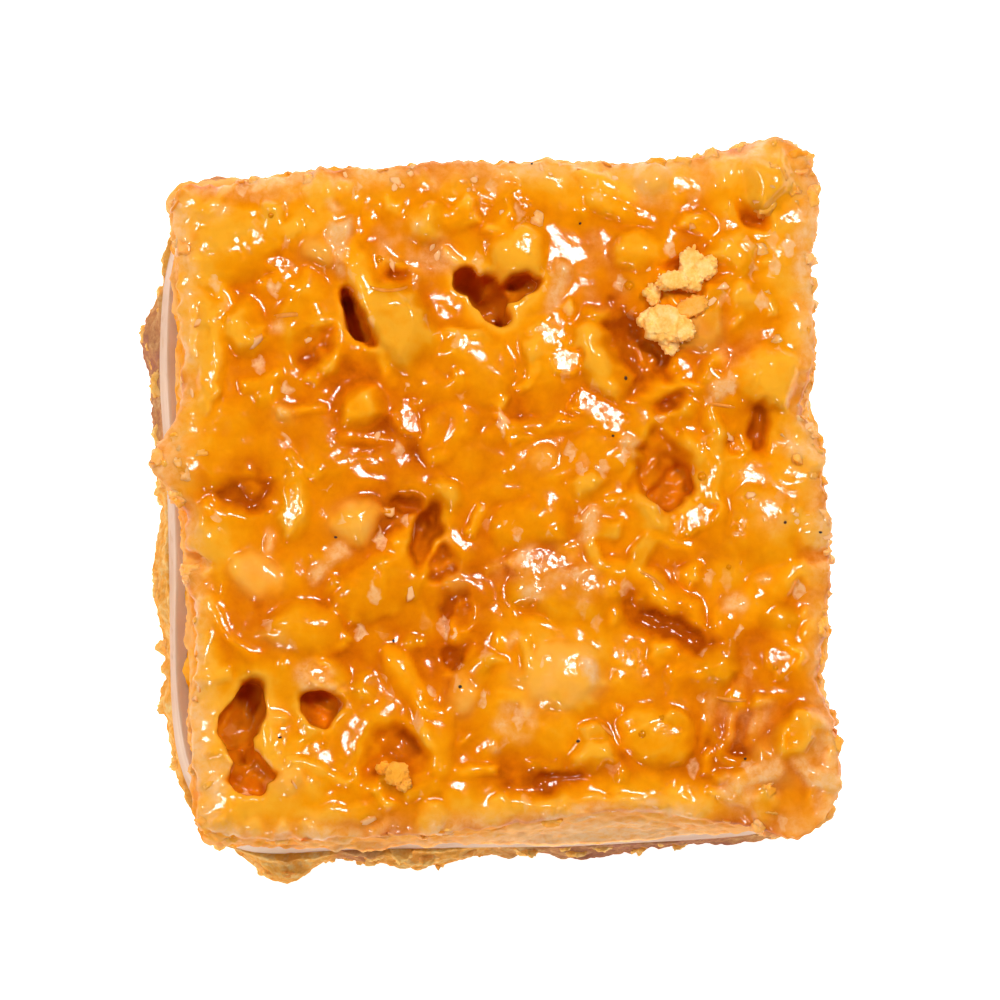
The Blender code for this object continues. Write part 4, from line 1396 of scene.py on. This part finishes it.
def wrapSquare(points, steps):
    # each point's place on the unit square's edge, the way out from it, and its ring
    turn = np.round((np.arctan2(points[:, 1], points[:, 0]) / math.tau % 1.0) * steps) % steps
    quarter = turn / steps * 4
    side, along = np.floor(quarter), (quarter % 1.0) * 2 - 1
    one, sides = np.ones_like(along), [side == 0, side == 1, side == 2]
    u, v = np.select(sides, [one, -along, -one], along), np.select(sides, [along, one, -along], -one)
    outX, outY = np.sign(u) * np.abs(u) ** 24, np.sign(v) * np.abs(v) ** 24
    size = np.hypot(outX, outY)
    return u, v, outX / size, outY / size, np.round(points[:, 2]).astype(int)


def roundedBy(u, v, power):
    # how much nearer the middle a point of the unit square's edge lies when its corners are rounded
    return (np.abs(u) ** power + np.abs(v) ** power) ** (-1 / power)


def sidesOf(u, v):
    return np.select([u >= 0.9999, u <= -0.9999, v >= 0.9999], ["right", "left", "back"], "front")


cream = {"steps": 720, "outAtTop": 0.45, "outAtFoot": 1.0, "rings": 20, "round": 0.35, "corner": 14}

# side, place along it, how far it stands out, width
creamEdges = (
    ("left", 31.0, -1.9, 6.5),
    ("left", -31.0, -2.4, 6.0),
    ("front", -31.0, -2.2, 5.0),
    ("front", 30.0, -0.9, 4.0),
    ("back", -30.0, -0.9, 5.0),
    ("left", 14.0, 0.5, 7.0),
    ("left", -13.0, 0.6, 13.0),
    ("front", 8.0, 0.25, 12.0),
)


def creamLayer(material):
    low, high = square["shortbreadTop"] - 0.1, square["creamTop"]
    body = [(0.0, high - cream["round"] - (high - low - 2 * cream["round"]) * step / (cream["rings"] - 1))
            for step in range(cream["rings"])]
    profile = [(4.0, high), (1.2, high), (cream["round"], high), (0.1, high - 0.1)] + body
    profile += [(0.1, low + 0.1), (cream["round"], low), (4.0, low)]
    bm = ringBlock(cream["steps"], len(profile))
    made = meshObject("creamLayer", bm, material)
    u, v, outX, outY, ring = wrapSquare(readPoints(made.data), cream["steps"])
    inset, z = np.array(profile)[ring].T
    w = (z - low) / (high - low)
    out = cream["outAtFoot"] * (1 - w) + cream["outAtTop"] * w - inset
    inward = roundedBy(u, v, cream["corner"])
    x, y = u * (square["halfX"] + out) * inward, v * (square["halfY"] + out) * inward
    relief = []
    for px, py, pz in zip(x, y, z):
        broad = 0.22 * noise.noise(Vector((px / 11, py / 11, pz / 16)))
        drag = 0.05 * noise.noise(Vector((px / 14, py / 14, pz / 0.7)))
        pores = min(0.0, noise.noise(Vector((px / 0.9, py / 0.9, pz / 0.9))) + 0.42) * 0.7
        relief.append(broad + drag + pores)
    relief = np.array(relief) * (inset < 1)
    relief += edgesOut(creamEdges, sidesOf(u, v), x, y, inset < 1)
    writePoints(made.data, x + outX * relief, y + outY * relief, z)
    turnOut(made)
    return made


shortbread = {
    "steps": 920,
    "halfX": 31.0,
    "halfY": 32.3,
    "lean": 0.35,
    "sideRings": 26,
    "topRings": 10,
    "margin": 4.2,
    "corner": 11,
}

# side, place along it, how far it stands out, width
shortbreadCrags = (
    ("left", 30.0, -2.6, 8.0),
    ("left", -32.0, -3.6, 6.0),
    ("front", -31.0, -3.4, 5.0),
    ("left", 18.5, 1.5, 3.5),
    ("left", 12.0, 0.6, 5.0),
    ("left", -5.5, 1.2, 4.0),
    ("left", -17.0, 0.7, 3.0),
    ("front", -20.5, 2.2, 2.8),
    ("front", -8.0, 1.3, 4.5),
    ("front", 8.0, 0.5, 7.0),
    ("right", 7.0, 0.9, 3.0),
    ("right", -21.0, 0.7, 3.5),
    ("back", -25.0, 0.9, 4.0),
    ("back", 11.0, 0.7, 3.0),
)


# side, place along it, width, how much browner and mauve it is there, partly soaked filling and partly
# painted shade
soakedShadeParts = (
    ("left", 14.5, 8.0, 0.9),
    ("front", -14.0, 2.2, 0.7),
    ("front", 14.0, 14.0, 0.95),
    ("right", -8.0, 9.0, 0.6),
    ("back", -22.0, 7.0, 0.7),
    ("back", 14.0, 6.0, 0.5),
)


def shortbreadBase(material):
    high = square["shortbreadTop"]
    margin, topRings, sideRings = shortbread["margin"], shortbread["topRings"], shortbread["sideRings"]
    profile = [(margin * (1 - step / topRings), high) for step in range(topRings)]
    profile += [(0.12, high - 0.05), (0.0, high - 0.3)]
    profile += [(0.0, (high - 0.3) * (1 - (step + 1) / sideRings)) for step in range(sideRings)]
    profile += [(margin, 0.0)]
    bm = ringBlock(shortbread["steps"], len(profile))
    made = meshObject("shortbreadBase", bm, material)
    u, v, outX, outY, ring = wrapSquare(readPoints(made.data), shortbread["steps"])
    inset, z = np.array(profile)[ring].T
    w = z / high
    out = -shortbread["lean"] * w - inset
    inward = roundedBy(u, v, shortbread["corner"])
    x, y = u * (shortbread["halfX"] + out) * inward, v * (shortbread["halfY"] + out) * inward
    sides = sidesOf(u, v)
    # the crags end in a ledge below the cream
    ledge = np.clip((0.88 - w) / 0.34, 0, 1)
    share = 0.3 + 0.7 * eased(ledge)
    crag = edgesOut(shortbreadCrags, sides, x, y, share) * np.clip(1 - inset / margin, 0, 1)
    relief, cracks = [], []
    for px, py, pz in zip(x, y, z):
        spot = Vector((px, py, pz))
        broad = 0.5 * noise.noise(spot / 3.4) + 0.35 * noise.noise(spot / 1.7)
        near = noise.voronoi(spot / 1.7)[0]
        grain = 0.36 * (near[1] - near[0]) ** 0.5 - 0.18
        sand = 0.14 * noise.noise(spot / 0.55) + 0.08 * noise.noise(spot / 0.28)
        relief.append(broad + grain + sand)
        cracks.append(max(0.0, 1 - (near[1] - near[0]) / 0.14))
    relief = np.array(relief)
    onTop = (z >= high - 0.01) & (inset > 0.2)
    outward = np.where(onTop | (inset >= margin), 0, relief)
    z = z + np.where(onTop & (inset < margin * 0.95), 0.45 * relief, 0)
    z = np.where(z < 0.02, 0.0, z)
    x, y = x + outX * (outward + crag), y + outY * (outward + crag)
    writePoints(made.data, x, y, z)
    # painted shade in part: the crust is browner and mauve at the listed places along its sides
    soakedShade = np.zeros_like(x)
    for name, place, width, share in soakedShadeParts:
        along = v * shortbread["halfY"] if name in ("left", "right") else u * shortbread["halfX"]
        soakedShade = np.maximum(soakedShade, np.where(sides == name, share * np.exp(-((along - place) / width) ** 4), 0))
    writeAttribute(made.data, "soakedShade", soakedShade)
    writeAttribute(made.data, "crack", 0.5 * np.array(cracks))
    turnOut(made)
    return made


def turnOut(made):
    bm = bmesh.new()
    bm.from_mesh(made.data)
    bmesh.ops.recalc_face_normals(bm, faces=bm.faces)
    bm.to_mesh(made.data)
    bm.free()


# the studio

studio = {
    "floor": "#F7F5F2",
    "floorGlow": 0.95,
    "world": 0.04,
    "keyPower": 4.4,
    "keySize": 0.15,
    "keyWay": (0.30, 0.36, 0.88),
    "sidePower": 2.3,
    "sideSize": 0.11,
    "sideWay": (-0.50, 0.20, 0.85),
    "frontPower": 1.0,
    "frontSize": 0.08,
    "frontWay": (-0.30, -0.80, 0.52),
    "lightDistance": 0.8,
    "lens": 234.0,
    "cameraDistance": 0.6,
    "cameraTilt": 4.0,
    "cameraRoll": 2.0,
    "aimX": -0.287,
    "aimY": -0.267,
}


def paleFloor():
    # white light table: matt and lit a little from below
    paper, add, place = newMaterial("studioPaper")
    tooth = add("TexNoise", {"Vector": place, "Scale": perMetre(1.5), "Detail": 2.0})
    bump = add("Bump", {"Height": tooth, "Strength": 0.05, "Distance": 0.0001})
    finishMaterial(paper, {
        "Base Color": linearColour(studio["floor"]), "Normal": bump, "Roughness": 0.9,
        "Emission Color": (1, 1, 1, 1), "Emission Strength": studio["floorGlow"],
    })
    bm = bmesh.new()
    bmesh.ops.create_grid(bm, x_segments=2, y_segments=2, size=1.6)
    floor = meshObject("studioFloor", bm, paper, False)


def softLight(name, way, power, size, aim):
    lamp = bpy.data.lights.new(name, "AREA")
    lamp.shape = "SQUARE"
    lamp.energy = power
    lamp.size = size
    holder = bpy.data.objects.new(name, lamp)
    direction = Vector(way).normalized()
    holder.location = aim + direction * studio["lightDistance"]
    holder.rotation_euler = direction.to_track_quat("Z", "Y").to_euler()
    bpy.context.scene.collection.objects.link(holder)


def studioCamera(aim):
    tilt = math.sin(math.radians(studio["cameraTilt"]))
    back = Vector((-tilt, -tilt, math.sqrt(1 - 2 * tilt * tilt)))
    right = (Vector((1, 0, 0)) - back * back.x).normalized()
    up = back.cross(right)
    roll = math.radians(studio["cameraRoll"])
    right, up = right * math.cos(roll) - up * math.sin(roll), up * math.cos(roll) + right * math.sin(roll)
    lens = bpy.data.cameras.new("studioCamera")
    lens.lens = studio["lens"]
    lens.sensor_width = 36.0
    lens.clip_start = 0.05
    made = bpy.data.objects.new("studioCamera", lens)
    turn = Matrix((right, up, back)).transposed().to_4x4()
    made.matrix_world = Matrix.Translation(aim + back * studio["cameraDistance"]) @ turn
    bpy.context.scene.collection.objects.link(made)
    bpy.context.scene.camera = made


def setStudio():
    aim = inFrame(studio["aimX"], studio["aimY"], square["toppingTop"])
    paleFloor()
    for name in ("key", "side", "front"):
        softLight(name + "Light", studio[name + "Way"], studio[name + "Power"], studio[name + "Size"], aim)
    world = bpy.data.worlds.new("studioWorld")
    world.use_nodes = True
    world.node_tree.nodes["Background"].inputs["Color"].default_value = (1, 1, 1, 1)
    world.node_tree.nodes["Background"].inputs["Strength"].default_value = studio["world"]
    bpy.context.scene.world = world
    bpy.context.scene.view_settings.view_transform = "Standard"
    studioCamera(aim)


def main():
    glaze, flesh = caramelGlaze(), glazedCoconutFlesh()
    sheet = makeTopSheet()
    print("topping surface laid out")
    top = glazedTopping(sheet, glaze)
    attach(top, "root")
    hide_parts("coconut_topping")
    print("glazed topping made:", len(top.data.polygons), "faces")
    surface = BVHTree.FromObject(top, bpy.context.evaluated_depsgraph_get())
    toppings = [coconutFlecks(surface, flesh), coconutShreds(sheet, flesh)]
    toppings += [brokenRim(surface, glaze), glazeBubbles(surface, glaze), burntSpecks(surface, burntSugar())]
    for piece in toppings:
        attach(piece, "root")
    crumbs = biscuitCrumbs(sheet, biscuitCrumb())
    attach(crumbs, "root")
    print("flecks, shreds and crumbs laid on it")
    filling = creamLayer(setCream())
    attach(filling, "root")
    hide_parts("cream_layer")
    base = shortbreadBase(sandyShortbread())
    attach(base, "root")
    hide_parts("shortbread_base")
    shell = BVHTree.FromObject(base, bpy.context.evaluated_depsgraph_get())
    grains = crustCrumbs(shell, crumbs.data.materials[0])
    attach(grains, "root")
    print("cream and shortbread made")
    setStudio()
    print("studio set")


main()
